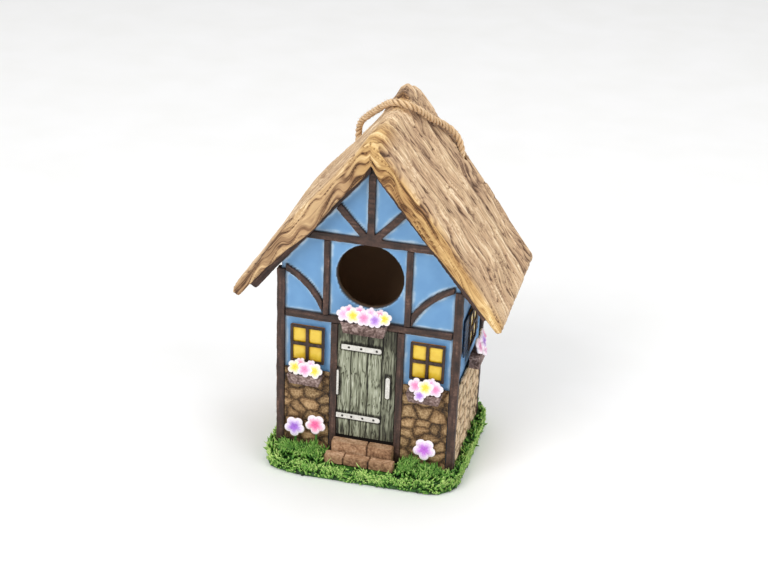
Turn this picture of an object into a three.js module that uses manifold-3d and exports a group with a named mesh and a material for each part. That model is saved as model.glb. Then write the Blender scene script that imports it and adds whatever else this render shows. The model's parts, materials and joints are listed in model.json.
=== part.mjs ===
// A cottage birdhouse: hollow half-timbered walls under a thatched roof, on a slab of lawn, with a rope loop.
// Millimetres, +Z up, the front faces -Y, and the origin is under the middle of the lawn.

import * as THREE from 'three';
import { mergeVertices } from 'three/addons/utils/BufferGeometryUtils.js';
import Module from 'manifold-3d';

const wasm = await Module();
wasm.setup();

// ---- Driving dimensions ----

const GAP = 0.3; // between any two pieces that meet

// House
const HOUSE_WIDTH = 110; // over the corner posts
const HOUSE_DEPTH = 76; // over the corner posts
const HOUSE_Y = -2; // the house's middle, a little forward of the roof's
const WALL_HEIGHT = 137.5; // lawn underside to the wall's top at the eaves
const WALL_THICKNESS = 4.5;
const ROOF_SLOPE = 1.21; // rise over run, about 50 degrees

// Lawn
const LAWN_HEIGHT = 9;
const LAWN_MARGIN_SIDE = 5.8; // past the corner posts
const LAWN_MARGIN_FRONT = 17;
const LAWN_MARGIN_REAR = 16;
const LAWN_ROUNDING = 2.2; // of the top and bottom edges
const LAWN_WAVE = 0.6; // how far the outline wanders
const LAWN_SLANT = 1.6; // its front edge runs back from left to right

// Roof
const THATCH_THICKNESS = 8.6; // square to the slope, at the ridge
const EAVE_THICKNESS = 5;
const EAVE_OVERHANG = 21; // past the corner posts, measured level
const ROOF_OVERHANG_FRONT = 7.6; // past the corner posts
const ROOF_OVERHANG_REAR = 19;
const RIDGE_LUMP_HEIGHT = 7; // the raised bundle near the rear of the ridge
const RIDGE_LUMP_Y = 33;
const RIDGE_LUMP_HALF_LENGTH = 13;
const RIDGE_LUMP_HALF_WIDTH = 14;
const RIDGE_DIP = 2.4; // where the rope crosses, just in front of the bundle
const RIDGE_DIP_Y = 14;
const RIDGE_DIP_HALF_LENGTH = 9;
const ROOF_STEPS = 18;

// Timbers
const TIMBER_THICKNESS = 1.7; // how far a timber stands out of the wall, less the gap
const POST_WIDTH = 4.8;
const DOOR_POST_WIDTH = 4.2;
const RAIL_HEIGHT = 4.3;
const RAIL_TOP = 101.2;
const STUD_WIDTH = 3.6;
const BRACE_WIDTH = 3.6;
const BRACE_RISE = 3.8; // how far the brace bows up from its chord
const BRACE_BELOW_POST_TOP = 4.5;
const COLLAR_HEIGHT = 4.3;
const KING_POST_WIDTH = 4.1;
const STRUT_WIDTH = 4;
const STRUT_REACH = 0.68; // of the gable's half width at the collar
const RAFTER_WIDTH = 4.7; // square to the slope
const RAFTER_THICKNESS = 3.7;
const RAFTER_SHORT_OF_EAVE = 6.5;

// Entrance hole
const HOLE_DIAMETER = 39.4;
const HOLE_ABOVE_RAIL = 7.8;
const HOLE_TO_COLLAR = 0.6;
const HOLE_TO_LEFT_STUD = 4;
const HOLE_TO_RIGHT_STUD = 1.8;

// Door
const DOOR_WIDTH = 35.2;
const DOOR_BOTTOM = 22.6;
const DOOR_THICKNESS = 1.4;
const STRAP_HEIGHT = 3.5;
const STRAP_THICKNESS = 0.8;
const STRAP_TOP_Z = 83;
const STRAP_BOTTOM_Z = 36.5;
const HANDLE_X = 13.6;
const HANDLE_Z = 60;
const HANDLE_SIZE = [2.8, 14.5, 1.6]; // width, height and how far it stands out
const HINGE_BAR_SIZE = [1.5, 17, 1.4];

// Windows
const WINDOW_WIDTH = 20.8;
const WINDOW_HEIGHT = 24.4;
const WINDOW_BOTTOM = 68;
const SIDE_WINDOW_BOTTOM = 77;
const SASH_WIDTH = 1.7;
const SASH_THICKNESS = 1.1;
const MUNTIN_WIDTH = 2;
const PANE_THICKNESS = 0.7;
const SHUTTER_WIDTH = 10;
const SHUTTER_THICKNESS = 1.3;

// Stonework and steps
const STONE_TOP = 63.6;
const STONE_THICKNESS = 1.8;
const STEP_RISE = 6.2;
const STEP_TREAD = 6.2;
const DOOR_ABOVE_STEP = 0.9;
const UPPER_STEP_WIDTH = 38;
const LOWER_STEP_WIDTH = 43;

// Flower boxes and flowers
const BOX_DEPTH = 6.6;
const BOX_TAPER = 1.6; // how much narrower a box is at its foot, each side
const WINDOW_BOX_WIDTH = 21.4;
const WINDOW_BOX_HEIGHT = 6.4;
const SIDE_BOX_HEIGHT = 9;
const DOOR_BOX_WIDTH = 27.4;
const DOOR_BOX_HEIGHT = 7.4;
const BOX_BELOW_WINDOW = 5.6; // from a front window's foot down to its box's rim
const SIDE_BOX_BELOW_WINDOW = 3.4;
const DOOR_BOX_ABOVE_RAIL = 1.4;
const DOOR_BOX_X = -0.8;
const FLOWER_THICKNESS = 2.4;
const GROUND_FLOWER_RADIUS = 6.6;
const STEM_RADIUS = 1.1;

// Rear clean-out
const CLEANOUT_WIDTH = 26;
const CLEANOUT_HEIGHT = 28;
const CLEANOUT_BOTTOM = 21;
const COVER_LAP = 5; // past the opening, all round
const COVER_HEAD = 9; // above the opening, where the screw is
const COVER_THICKNESS = 3;
const SCREW_RADIUS = 1.6;
const SCREW_HEAD_RADIUS = 3.8;
const SCREW_HEAD_HEIGHT = 2;
const SCREW_CLEARANCE = 0.1; // all round the shank

// Rope
const ROPE_DIAMETER = 4.3;
const ROPE_HOLE_X = 32;
const ROPE_HOLE_Y = 49;
const ROPE_HOLE_CLEARANCE = 1; // all round the rope
const KNOT_RADIUS = 4.6;
const KNOT_BELOW_ROOF = 7.88; // a knot's middle, below the roof's underside at its hole
const ROPE_STEPS = 34;
const ROPE_SIDES = 10;

// The middle of the rope, from the left knot up through the roof, over the ridge and down to the right knot.
const ROPE_POINTS = [
  [-32, 49, 160.4], [-32, 49, 166], [-32, 49, 173], [-32.1, 48.9, 180], [-31.5, 47.4, 186],
  [-28.8, 43.8, 191.6], [-24, 38.8, 197], [-18.2, 32.8, 202.6], [-12, 26.4, 208.4],
  [-6.4, 20.4, 213.2], [-1, 16, 215.4], [4.8, 16, 214.6], [9.8, 20.8, 211.2],
  [14, 28.4, 205.4], [17.8, 36.8, 199.6], [21.6, 44, 195], [25.6, 48.4, 190.2],
  [29.2, 49.8, 185.6], [31.4, 49.3, 180.4], [32, 49, 173], [32, 49, 166], [32, 49, 160.4],
];

// ---- Sizes that follow from them ----

const shellHalfWidth = HOUSE_WIDTH / 2 - TIMBER_THICKNESS - GAP;
const shellHalfDepth = HOUSE_DEPTH / 2 - TIMBER_THICKNESS - GAP;
const wallBottom = LAWN_HEIGHT + GAP;
const postInner = HOUSE_WIDTH / 2 - POST_WIDTH;
const slopeLength = Math.hypot(1, ROOF_SLOPE); // along the slope for one unit across
const apexHeight = WALL_HEIGHT + GAP * slopeLength + ROOF_SLOPE * shellHalfWidth;
const rafterDrop = (GAP + RAFTER_WIDTH) * slopeLength; // roof underside to a rafter's lower edge, upright
const railBottom = RAIL_TOP - RAIL_HEIGHT;
const holeRadius = HOLE_DIAMETER / 2;
const holeCentre = RAIL_TOP + HOLE_ABOVE_RAIL + holeRadius;
const collarBottom = holeCentre + holeRadius + HOLE_TO_COLLAR;
const collarTop = collarBottom + COLLAR_HEIGHT;
const doorPostInner = DOOR_WIDTH / 2 + GAP;
const doorPostOuter = doorPostInner + DOOR_POST_WIDTH;
const windowX = (doorPostOuter + postInner) / 2;
const onStone = GAP + STONE_THICKNESS + GAP;
const onTimber = GAP + TIMBER_THICKNESS + GAP;
const onDoor = GAP + DOOR_THICKNESS + GAP;
const roofFront = HOUSE_Y - HOUSE_DEPTH / 2 - ROOF_OVERHANG_FRONT;
const roofRear = HOUSE_Y + HOUSE_DEPTH / 2 + ROOF_OVERHANG_REAR;
const pivotZ = CLEANOUT_BOTTOM + CLEANOUT_HEIGHT + COVER_HEAD / 2 + 1;

/** Height of the roof's underside at a distance from the middle. */
function underside(x) {
  return apexHeight - ROOF_SLOPE * Math.abs(x);
}

/** Height of the line that timbers stop at, just below the rafters. */
function belowRafters(x) {
  return underside(x) - rafterDrop - GAP * slopeLength;
}

// ---- Materials ----

function material(color, roughness, metalness = 0) {
  return new THREE.MeshStandardMaterial({ color, roughness, metalness });
}

const materials = {
  lawn: () => material(0x4f9a2c, 0.8),
  plaster: () => material(0x5b96d0, 0.6),
  thatch: () => material(0xb98f5c, 0.85),
  timber: () => material(0x4a2f24, 0.6),
  pane: () => material(0xf2c11d, 0.4),
  shutter: () => material(0x1f2a3a, 0.6),
  box: () => material(0x8d6f62, 0.8),
  petal: () => material(0xf6dcec, 0.5),
  door: () => material(0x76806a, 0.7),
  iron: () => material(0xe4e4e0, 0.5),
  brick: () => material(0x8f5f3e, 0.8),
  stone: () => material(0x8d7150, 0.85),
  cover: () => material(0x4a2f24, 0.6),
  screw: () => material(0xb0b0ae, 0.35, 1),
  rope: () => material(0xb88a55, 0.95),
};

// ---- Solids ----

/** A closed three.js geometry as a solid that can be joined and cut. */
function solidOf(geometry) {
  const bare = geometry.clone();
  bare.deleteAttribute('normal');
  bare.deleteAttribute('uv');
  const merged = mergeVertices(bare, 1e-4);
  const mesh = new wasm.Mesh({
    numProp: 3,
    vertProperties: new Float32Array(merged.attributes.position.array),
    triVerts: new Uint32Array(merged.index.array),
  });
  return new wasm.Manifold(mesh);
}

/** A solid as a three.js geometry. */
function geometryOf(solid) {
  const mesh = solid.getMesh();
  const geometry = new THREE.BufferGeometry();
  geometry.setAttribute('position', new THREE.BufferAttribute(mesh.vertProperties, 3));
  geometry.setIndex(new THREE.BufferAttribute(mesh.triVerts, 1));
  geometry.computeVertexNormals();
  return geometry;
}

function joined(geometries) {
  return geometryOf(geometries.map(solidOf).reduce((sum, solid) => sum.add(solid)));
}

function cut(geometry, tools) {
  return geometryOf(tools.map(solidOf).reduce((rest, tool) => rest.subtract(tool), solidOf(geometry)));
}

function common(geometry, limit) {
  return geometryOf(solidOf(geometry).intersect(solidOf(limit)));
}

function outline(points) {
  return new THREE.Shape(points.map(([x, z]) => new THREE.Vector2(x, z)));
}

/** An upright outline made thick: it stands out of the wall from `back` to `back + thickness`. */
function slab(shape, back, thickness) {
  const options = { depth: thickness, bevelEnabled: false, curveSegments: 6 };
  const geometry = new THREE.ExtrudeGeometry(shape, options);
  return geometry.rotateX(Math.PI / 2).translate(0, -back, 0);
}

/** A board on the wall between two heights. */
function board(x0, x1, z0, z1, back, thickness) {
  return slab(outline([[x0, z0], [x1, z0], [x1, z1], [x0, z1]]), back, thickness);
}

/** A straight board between two points on the wall. */
function slantedBoard(start, end, width, back, thickness) {
  const a = new THREE.Vector2(...start);
  const b = new THREE.Vector2(...end);
  const along = b.clone().sub(a).normalize();
  const across = new THREE.Vector2(-along.y, along.x).multiplyScalar(width / 2);
  const ends = [[a, -1], [b, -1], [b, 1], [a, 1]];
  const corners = ends.map(([end, way]) => end.clone().addScaledVector(across, way));
  return slab(new THREE.Shape(corners), back, thickness);
}

function drill(radius, x, z, length) {
  return new THREE.CylinderGeometry(radius, radius, length, 24).translate(x, 0, z);
}

// ---- Scene ----

const birdhouse = new THREE.Group();
birdhouse.name = 'birdhouse';

function add(parent, name, geometry, kind) {
  const mesh = new THREE.Mesh(geometry, materials[kind]());
  mesh.name = name;
  parent.add(mesh);
  return mesh;
}

/** A group whose own -Y points straight out of one wall, with its own X along the wall. */
function wallGroup(turn, reach) {
  const group = new THREE.Group();
  group.rotation.z = turn;
  group.position.set(Math.sin(turn) * reach, HOUSE_Y - Math.cos(turn) * reach, 0);
  birdhouse.add(group);
  return group;
}

const front = wallGroup(0, shellHalfDepth);
const rear = wallGroup(Math.PI, shellHalfDepth);
const walls = {
  left: wallGroup(-Math.PI / 2, shellHalfWidth),
  right: wallGroup(Math.PI / 2, shellHalfWidth),
};

// ---- Lawn ----

function lawnOutline(inset) {
  const halfX = HOUSE_WIDTH / 2 + LAWN_MARGIN_SIDE - inset;
  const halfY = (HOUSE_DEPTH + LAWN_MARGIN_FRONT + LAWN_MARGIN_REAR) / 2 - inset;
  const middleY = HOUSE_Y + (LAWN_MARGIN_REAR - LAWN_MARGIN_FRONT) / 2;
  const points = [];
  const count = 56;
  for (let i = 0; i < count; i += 1) {
    const angle = (i / count) * 2 * Math.PI;
    const squareness = 2 / 7;
    const x = Math.sign(Math.cos(angle)) * Math.abs(Math.cos(angle)) ** squareness;
    const y = Math.sign(Math.sin(angle)) * Math.abs(Math.sin(angle)) ** squareness;
    const wander = LAWN_WAVE * Math.sin(7 * angle) * Math.cos(3 * angle);
    const slant = y < 0 ? LAWN_SLANT * x : 0;
    points.push([x * (halfX + wander), y * (halfY + wander) + slant + middleY]);
  }
  return outline(points);
}

function lawn() {
  return new THREE.ExtrudeGeometry(lawnOutline(LAWN_ROUNDING), {
    depth: LAWN_HEIGHT - 2 * LAWN_ROUNDING,
    bevelSize: LAWN_ROUNDING,
    bevelThickness: LAWN_ROUNDING,
    bevelSegments: 2,
  }).translate(0, 0, LAWN_ROUNDING);
}

add(birdhouse, 'base_lawn', lawn(), 'lawn');

// ---- Walls ----

/** The space under the roof, as an upright pentagon through the whole house. */
function gableOutline(halfWidth, bottom, drop) {
  return outline([
    [-halfWidth, bottom],
    [halfWidth, bottom],
    [halfWidth, underside(halfWidth) - drop],
    [0, underside(0) - drop],
    [-halfWidth, underside(halfWidth) - drop],
  ]);
}

function houseShell() {
  const pentagon = gableOutline(shellHalfWidth, wallBottom, GAP * slopeLength);
  const outer = slab(pentagon, -shellHalfDepth, 2 * shellHalfDepth);
  const innerWidth = 2 * (shellHalfWidth - WALL_THICKNESS);
  const innerDepth = 2 * (shellHalfDepth - WALL_THICKNESS);
  const inner = new THREE.BoxGeometry(innerWidth, innerDepth, 4 * WALL_HEIGHT);
  const entrance = new THREE.CylinderGeometry(holeRadius, holeRadius, 3 * WALL_THICKNESS, 48);
  entrance.translate(0, -shellHalfDepth, holeCentre);
  const cleanout = new THREE.BoxGeometry(CLEANOUT_WIDTH, 3 * WALL_THICKNESS, CLEANOUT_HEIGHT);
  cleanout.translate(0, shellHalfDepth, CLEANOUT_BOTTOM + CLEANOUT_HEIGHT / 2);
  const pilot = drill(SCREW_RADIUS + SCREW_CLEARANCE, 0, pivotZ, 3 * WALL_THICKNESS);
  pilot.translate(0, shellHalfDepth, 0);
  return cut(outer, [inner, entrance, cleanout, pilot]);
}

add(birdhouse, 'house_shell', houseShell(), 'plaster').position.y = HOUSE_Y;

// ---- Roof ----

/** Half of the roof's section, from the ridge down over the eave to the underside. */
function roofHalfSection() {
  const run = new THREE.Vector2(1, -ROOF_SLOPE).normalize(); // down the slope
  const out = new THREE.Vector2(-run.y, run.x); // square to it, away from the house
  const eaveX = HOUSE_WIDTH / 2 + EAVE_OVERHANG;
  const eave = new THREE.Vector2(eaveX, underside(eaveX));
  const onTop = (x) => {
    const thinning = THREE.MathUtils.smoothstep(x / eaveX, 0.55, 1);
    const thickness = THREE.MathUtils.lerp(THATCH_THICKNESS, EAVE_THICKNESS, thinning);
    return [x, underside(x) + thickness * slopeLength];
  };
  const ridgeRounding = 2.4;
  const rounded = [0, underside(0) + THATCH_THICKNESS * slopeLength - ridgeRounding];
  const shares = [0.05, 0.11, 0.18, 0.3, 0.45, 0.6, 0.75, 0.9];
  const eaveShapes = [[-1, 0.97], [0, 0.85], [0.9, 0.5], [0.6, 0.15]]; // along and out, in eave thicknesses
  const eavePoints = eaveShapes.map(([along, share]) => {
    const shift = along * 1.4;
    const point = eave.clone().addScaledVector(run, shift).addScaledVector(out, share * EAVE_THICKNESS);
    return [point.x, point.y];
  });
  return [rounded, ...shares.map((share) => onTop(share * eaveX)), ...eavePoints, [eave.x, eave.y]];
}

function roofSection() {
  const right = roofHalfSection();
  const left = right.slice(1).reverse().map(([x, z]) => [-x, z]);
  return outline([...left, ...right, [0, underside(0)]].reverse());
}

/** How far the thatch stands above its even surface: up at the raised bundle, down at the rope's crossing. */
function ridgeRise(x, y) {
  const across = Math.max(0, 1 - (x / RIDGE_LUMP_HALF_WIDTH) ** 2);
  const alongLump = Math.max(0, 1 - ((y - RIDGE_LUMP_Y) / RIDGE_LUMP_HALF_LENGTH) ** 2);
  const alongDip = Math.max(0, 1 - ((y - RIDGE_DIP_Y) / RIDGE_DIP_HALF_LENGTH) ** 2);
  return across * (RIDGE_LUMP_HEIGHT * Math.sqrt(alongLump) - RIDGE_DIP * alongDip);
}

function roof() {
  const length = roofRear - roofFront;
  const options = { depth: length, steps: ROOF_STEPS, bevelEnabled: false };
  const geometry = new THREE.ExtrudeGeometry(roofSection(), options);
  geometry.rotateX(Math.PI / 2).translate(0, roofRear, 0);
  const position = geometry.attributes.position;
  for (let i = 0; i < position.count; i += 1) {
    const x = position.getX(i);
    const z = position.getZ(i);
    const isOuter = z > underside(x) + THATCH_THICKNESS / 2;
    if (isOuter) position.setZ(i, z + ridgeRise(x, position.getY(i)));
  }
  const bore = ROPE_DIAMETER / 2 + ROPE_HOLE_CLEARANCE;
  const ropeHoles = [-1, 1].map((side) => {
    const hole = new THREE.CylinderGeometry(bore, bore, WALL_HEIGHT, ROPE_SIDES * 2).rotateX(Math.PI / 2);
    return hole.translate(side * ROPE_HOLE_X, ROPE_HOLE_Y, underside(ROPE_HOLE_X));
  });
  return cut(geometry, ropeHoles);
}

add(birdhouse, 'roof_thatch', roof(), 'thatch');

// ---- Corner posts ----

/** An L-shaped post that wraps the wall's upright edge, for the corner at +X, -Y. */
function cornerPost() {
  const halfX = HOUSE_WIDTH / 2;
  const halfY = HOUSE_DEPTH / 2;
  const shape = outline([
    [halfX - POST_WIDTH, -halfY],
    [halfX, -halfY],
    [halfX, -halfY + POST_WIDTH],
    [shellHalfWidth + GAP, -halfY + POST_WIDTH],
    [shellHalfWidth + GAP, -shellHalfDepth - GAP],
    [halfX - POST_WIDTH, -shellHalfDepth - GAP],
  ]);
  const height = belowRafters(halfX) - wallBottom;
  return new THREE.ExtrudeGeometry(shape, { depth: height, bevelEnabled: false }).translate(0, 0, wallBottom);
}

/** The same post at another corner: mirrored by its winding, so that its faces still point out. */
function mirrored(geometry, flipX, flipY) {
  const copy = geometry.index ? geometry.toNonIndexed() : geometry.clone();
  copy.scale(flipX ? -1 : 1, flipY ? -1 : 1, 1);
  if (flipX === flipY) return copy;
  const position = copy.attributes.position;
  for (let i = 0; i < position.count; i += 3) {
    const second = new THREE.Vector3().fromBufferAttribute(position, i + 1);
    const third = new THREE.Vector3().fromBufferAttribute(position, i + 2);
    position.setXYZ(i + 1, third.x, third.y, third.z);
    position.setXYZ(i + 2, second.x, second.y, second.z);
  }
  return copy;
}

for (const [depthName, flipY] of [['front', false], ['rear', true]]) {
  for (const [sideName, flipX] of [['left', true], ['right', false]]) {
    const name = `corner_post_${depthName}_${sideName}`;
    const post = add(birdhouse, name, mirrored(cornerPost(), flipX, flipY), 'timber');
    post.position.y = HOUSE_Y;
  }
}

// ---- Timbers of the front wall ----

function timber(x0, x1, z0, z1) {
  return board(x0, x1, z0, z1, GAP, TIMBER_THICKNESS);
}

/** Everything on a gable below its rafters, as one thick pentagon. */
function gableLimit() {
  const halfWidth = postInner - GAP;
  return slab(gableOutline(halfWidth, wallBottom, rafterDrop + GAP * slopeLength), 0, 4 * TIMBER_THICKNESS);
}

function gableTruss() {
  const widest = postInner;
  const gableHalf = (belowRafters(0) - collarTop) / ROOF_SLOPE;
  const strutX = gableHalf * STRUT_REACH;
  const pieces = [
    timber(-widest, widest, collarBottom, collarTop),
    timber(-KING_POST_WIDTH / 2, KING_POST_WIDTH / 2, collarBottom + 1, apexHeight),
    ...[-1, 1].map((side) => {
      const foot = [side * KING_POST_WIDTH / 2, collarTop - 1];
      const head = [side * strutX, underside(strutX)];
      return slantedBoard(foot, head, STRUT_WIDTH, GAP, TIMBER_THICKNESS);
    }),
  ];
  return common(joined(pieces), gableLimit());
}

/** How far from the middle a stud's edge beside the hole is. */
function studInner(side) {
  return holeRadius + (side < 0 ? HOLE_TO_LEFT_STUD : HOLE_TO_RIGHT_STUD);
}

/** A curved brace from the stud's foot up to the top of the corner post. */
function brace(side) {
  const foot = new THREE.Vector2(studInner(side) + STUD_WIDTH / 2, RAIL_TOP);
  const head = new THREE.Vector2(postInner, belowRafters(postInner) - BRACE_BELOW_POST_TOP);
  const lift = new THREE.Vector2(foot.y - head.y, head.x - foot.x).normalize().multiplyScalar(2 * BRACE_RISE);
  const middle = foot.clone().lerp(head, 0.5).add(lift);
  const overrun = 0.12;
  const line = new THREE.QuadraticBezierCurve(foot, middle, head);
  const edge = (offset) => {
    const points = [];
    const steps = 10;
    for (let i = 0; i <= steps; i += 1) {
      const share = i / steps;
      const across = line.getTangent(share).rotateAround(new THREE.Vector2(), Math.PI / 2);
      points.push(line.getPoint(share).addScaledVector(across, offset));
    }
    points[0].addScaledVector(line.getTangent(0), -overrun * head.x);
    points[steps].addScaledVector(line.getTangent(1), overrun * head.x);
    return points;
  };
  const strip = new THREE.Shape([...edge(-BRACE_WIDTH / 2), ...edge(BRACE_WIDTH / 2).reverse()]);
  const left = studInner(side) + STUD_WIDTH + GAP;
  const right = postInner - GAP;
  const panel = outline([
    [left, RAIL_TOP + GAP],
    [right, RAIL_TOP + GAP],
    [right, belowRafters(right)],
    [left, Math.min(belowRafters(left), collarBottom - GAP)],
  ]);
  const solid = common(slab(strip, GAP, TIMBER_THICKNESS), slab(panel, 0, 4 * TIMBER_THICKNESS));
  return side < 0 ? mirrored(solid, true, false) : solid;
}

/** A rafter board under the thatch, from the apex to short of the eave. */
function rafter(side) {
  const start = GAP / 2;
  const end = HOUSE_WIDTH / 2 + EAVE_OVERHANG - RAFTER_SHORT_OF_EAVE;
  const top = GAP * slopeLength;
  const corners = [
    [start, underside(start) - rafterDrop],
    [end - RAFTER_WIDTH * 0.5, underside(end - RAFTER_WIDTH * 0.5) - rafterDrop],
    [end + RAFTER_WIDTH * 0.4, underside(end + RAFTER_WIDTH * 0.4) - top],
    [start, underside(start) - top],
  ];
  const solid = slab(outline(corners), GAP, RAFTER_THICKNESS);
  return side < 0 ? mirrored(solid, true, false) : solid;
}

for (const [name, side] of [['left', -1], ['right', 1]]) {
  const between = (a, b) => [Math.min(side * a, side * b), Math.max(side * a, side * b)];
  const doorPost = timber(...between(doorPostInner, doorPostOuter), wallBottom, railBottom - GAP);
  const studEdges = between(studInner(side), studInner(side) + STUD_WIDTH);
  const stud = timber(...studEdges, RAIL_TOP + GAP, collarBottom - GAP);
  add(front, `door_post_${name}`, doorPost, 'timber');
  add(front, `stud_${name}`, stud, 'timber');
  add(front, `brace_${name}`, brace(side), 'timber');
  add(front, `rafter_front_${name}`, rafter(side), 'timber');
}
add(front, 'mid_rail', timber(-postInner + GAP, postInner - GAP, railBottom, RAIL_TOP), 'timber');
add(front, 'gable_truss', gableTruss(), 'timber');

// ---- Timbers of the rear wall ----

function rearTimberFrame() {
  const half = KING_POST_WIDTH / 2;
  const ridgeJoint = board(-1, 1, underside(1) - rafterDrop, underside(1) - 2 * GAP, GAP, RAFTER_THICKNESS);
  return joined([
    timber(-postInner + GAP, postInner - GAP, railBottom, RAIL_TOP),
    timber(-half, half, railBottom, underside(half) - RAFTER_WIDTH),
    rafter(-1),
    rafter(1),
    ridgeJoint,
  ]);
}

add(rear, 'rear_timber_frame', rearTimberFrame(), 'timber');

// ---- Door ----

const doorTop = railBottom - GAP;

function strap(x0, x1, z) {
  const half = STRAP_HEIGHT / 2;
  const shape = new THREE.Shape();
  shape.moveTo(x0, z - half);
  shape.lineTo(x1 - half, z - half);
  shape.absarc(x1 - half, z, half, -Math.PI / 2, Math.PI / 2, false);
  shape.lineTo(x0, z + half);
  return slab(shape, onDoor, STRAP_THICKNESS);
}

/** An upright bar with round ends. */
function bar(x, z, [width, height, thickness], back) {
  const radius = width / 2;
  const reach = height / 2 - radius;
  const shape = new THREE.Shape();
  shape.absarc(x, z + reach, radius, 0, Math.PI, false);
  shape.absarc(x, z - reach, radius, Math.PI, 2 * Math.PI, false);
  return slab(shape, back, thickness);
}

const doorLeaf = board(-DOOR_WIDTH / 2, DOOR_WIDTH / 2, DOOR_BOTTOM, doorTop, GAP, DOOR_THICKNESS);
const hingeBarX = -DOOR_WIDTH / 2 + HINGE_BAR_SIZE[0] / 2;
add(front, 'door_leaf', doorLeaf, 'door');
add(front, 'strap_top', strap(-DOOR_WIDTH / 2 + 2.4, 9.2, STRAP_TOP_Z), 'iron');
add(front, 'strap_bottom', strap(-DOOR_WIDTH / 2, 9.6, STRAP_BOTTOM_Z), 'iron');
add(front, 'door_handle', bar(HANDLE_X, HANDLE_Z, HANDLE_SIZE, onDoor), 'iron');
add(front, 'door_hinge_bar', bar(hingeBarX, HANDLE_Z - 1, HINGE_BAR_SIZE, onDoor), 'iron');

// ---- Windows ----

/** A frame with a cross of muntins between its four openings, centred on its foot. */
function windowFrame() {
  const half = WINDOW_WIDTH / 2;
  const middle = WINDOW_HEIGHT / 2;
  const inner = MUNTIN_WIDTH / 2;
  const back = GAP + PANE_THICKNESS + GAP;
  const openings = [];
  for (const [x0, x1] of [[SASH_WIDTH - half, -inner], [inner, half - SASH_WIDTH]]) {
    for (const [z0, z1] of [[SASH_WIDTH, middle - inner], [middle + inner, WINDOW_HEIGHT - SASH_WIDTH]]) {
      openings.push(board(x0, x1, z0, z1, back - SASH_THICKNESS, 3 * SASH_THICKNESS));
    }
  }
  return cut(board(-half, half, 0, WINDOW_HEIGHT, back, SASH_THICKNESS), openings);
}

function windowPanes() {
  const half = WINDOW_WIDTH / 2 - GAP;
  return board(-half, half, GAP, WINDOW_HEIGHT - GAP, GAP, PANE_THICKNESS);
}

function addWindow(parent, name, x, bottom) {
  const group = new THREE.Group();
  group.position.set(x, 0, bottom);
  parent.add(group);
  add(group, `window_frame_${name}`, windowFrame(), 'timber');
  add(group, `window_panes_${name}`, windowPanes(), 'pane');
  return group;
}

// ---- Flower boxes and flowers ----

function flowerBox(width, height, back) {
  const half = width / 2;
  const foot = half - BOX_TAPER;
  return slab(outline([[-foot, 0], [foot, 0], [half, height], [-half, height]]), back, BOX_DEPTH);
}

/** One flower with five petals, facing out of the wall. */
function flower(radius, turn) {
  const points = [];
  const petals = 5;
  const count = petals * 4;
  for (let i = 0; i < count; i += 1) {
    const angle = turn + (i / count) * 2 * Math.PI;
    const reach = radius * (0.84 + 0.16 * Math.cos(petals * (angle - turn)));
    points.push([reach * Math.cos(angle), reach * Math.sin(angle)]);
  }
  return slab(outline(points), 0, FLOWER_THICKNESS);
}

/** Flowers packed side by side into one casting. Each is [x, z, radius, how far out]. */
function flowerCluster(flowers) {
  const tilt = 0.35; // they look up a little
  return joined(flowers.map(([x, z, radius, out], index) => (
    flower(radius, index).rotateX(-tilt).translate(x, -out, z)
  )));
}

const WINDOW_FLOWERS = {
  left: [[-5.6, 4.6, 4.9, 0], [0.6, 4.4, 4.7, 1], [6.6, 4, 4.9, 0.4]],
  right: [[-5, 4.8, 4.8, 0], [1, 4.8, 5.2, 0.8], [7, 4.2, 4.8, 0.2], [-1.8, 0, 4, 2.6]],
};
const DOOR_FLOWERS = [
  [-12, 4.4, 4.6, 0], [-6, 4.6, 5, 0.8], [0.4, 4.2, 5, 1.4], [6.8, 3.6, 4.8, 1], [12.2, 5, 4.6, 0],
];
const SIDE_FLOWERS = [[-6.4, 5.4, 5.4, 0], [0, 6, 5.6, 1], [6.4, 5.4, 5.4, 0], [-1.6, 1.2, 4.4, 2.6]];

/** A box with its flowers, on a wall, with its top at a height. The flowers lean over the box's front. */
function addPlanter(parent, name, x, top, size, back, flowers) {
  const [width, height] = size;
  const group = new THREE.Group();
  group.position.set(x, 0, top);
  parent.add(group);
  add(group, `flower_box_${name}`, flowerBox(width, height, back).translate(0, 0, -height), 'box');
  const cluster = flowerCluster(flowers).translate(0, -back - 0.6 * BOX_DEPTH, 0);
  const front = back + BOX_DEPTH + GAP;
  const room = new THREE.BoxGeometry(2 * width, 2 * front, 2 * height).translate(0, 0, GAP - height);
  add(group, `flowers_${name}`, cut(cluster, [room]), 'petal');
}

for (const [name, side] of [['left', -1], ['right', 1]]) {
  const boxTop = WINDOW_BOTTOM - BOX_BELOW_WINDOW;
  addWindow(front, `front_${name}`, side * windowX, WINDOW_BOTTOM);
  const size = [WINDOW_BOX_WIDTH, WINDOW_BOX_HEIGHT];
  addPlanter(front, `front_${name}`, side * windowX, boxTop, size, onStone, WINDOW_FLOWERS[name]);

  const wall = walls[name];
  const window = addWindow(wall, `side_${name}`, 0, SIDE_WINDOW_BOTTOM);
  for (const [place, along] of [['front', -side], ['rear', side]]) { // along this wall's own X
    const inner = WINDOW_WIDTH / 2 + GAP;
    const outer = inner + SHUTTER_WIDTH;
    const edges = [along * inner, along * outer].sort((a, b) => a - b);
    const shutter = board(...edges, GAP, WINDOW_HEIGHT - GAP, GAP, SHUTTER_THICKNESS);
    add(window, `shutter_${name}_${place}`, shutter, 'shutter');
  }
  const sideSize = [WINDOW_BOX_WIDTH, SIDE_BOX_HEIGHT];
  const sideBoxTop = SIDE_WINDOW_BOTTOM - SIDE_BOX_BELOW_WINDOW;
  addPlanter(wall, `side_${name}`, 0, sideBoxTop, sideSize, onStone, SIDE_FLOWERS);
}
const doorBoxTop = RAIL_TOP + DOOR_BOX_ABOVE_RAIL;
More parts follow.
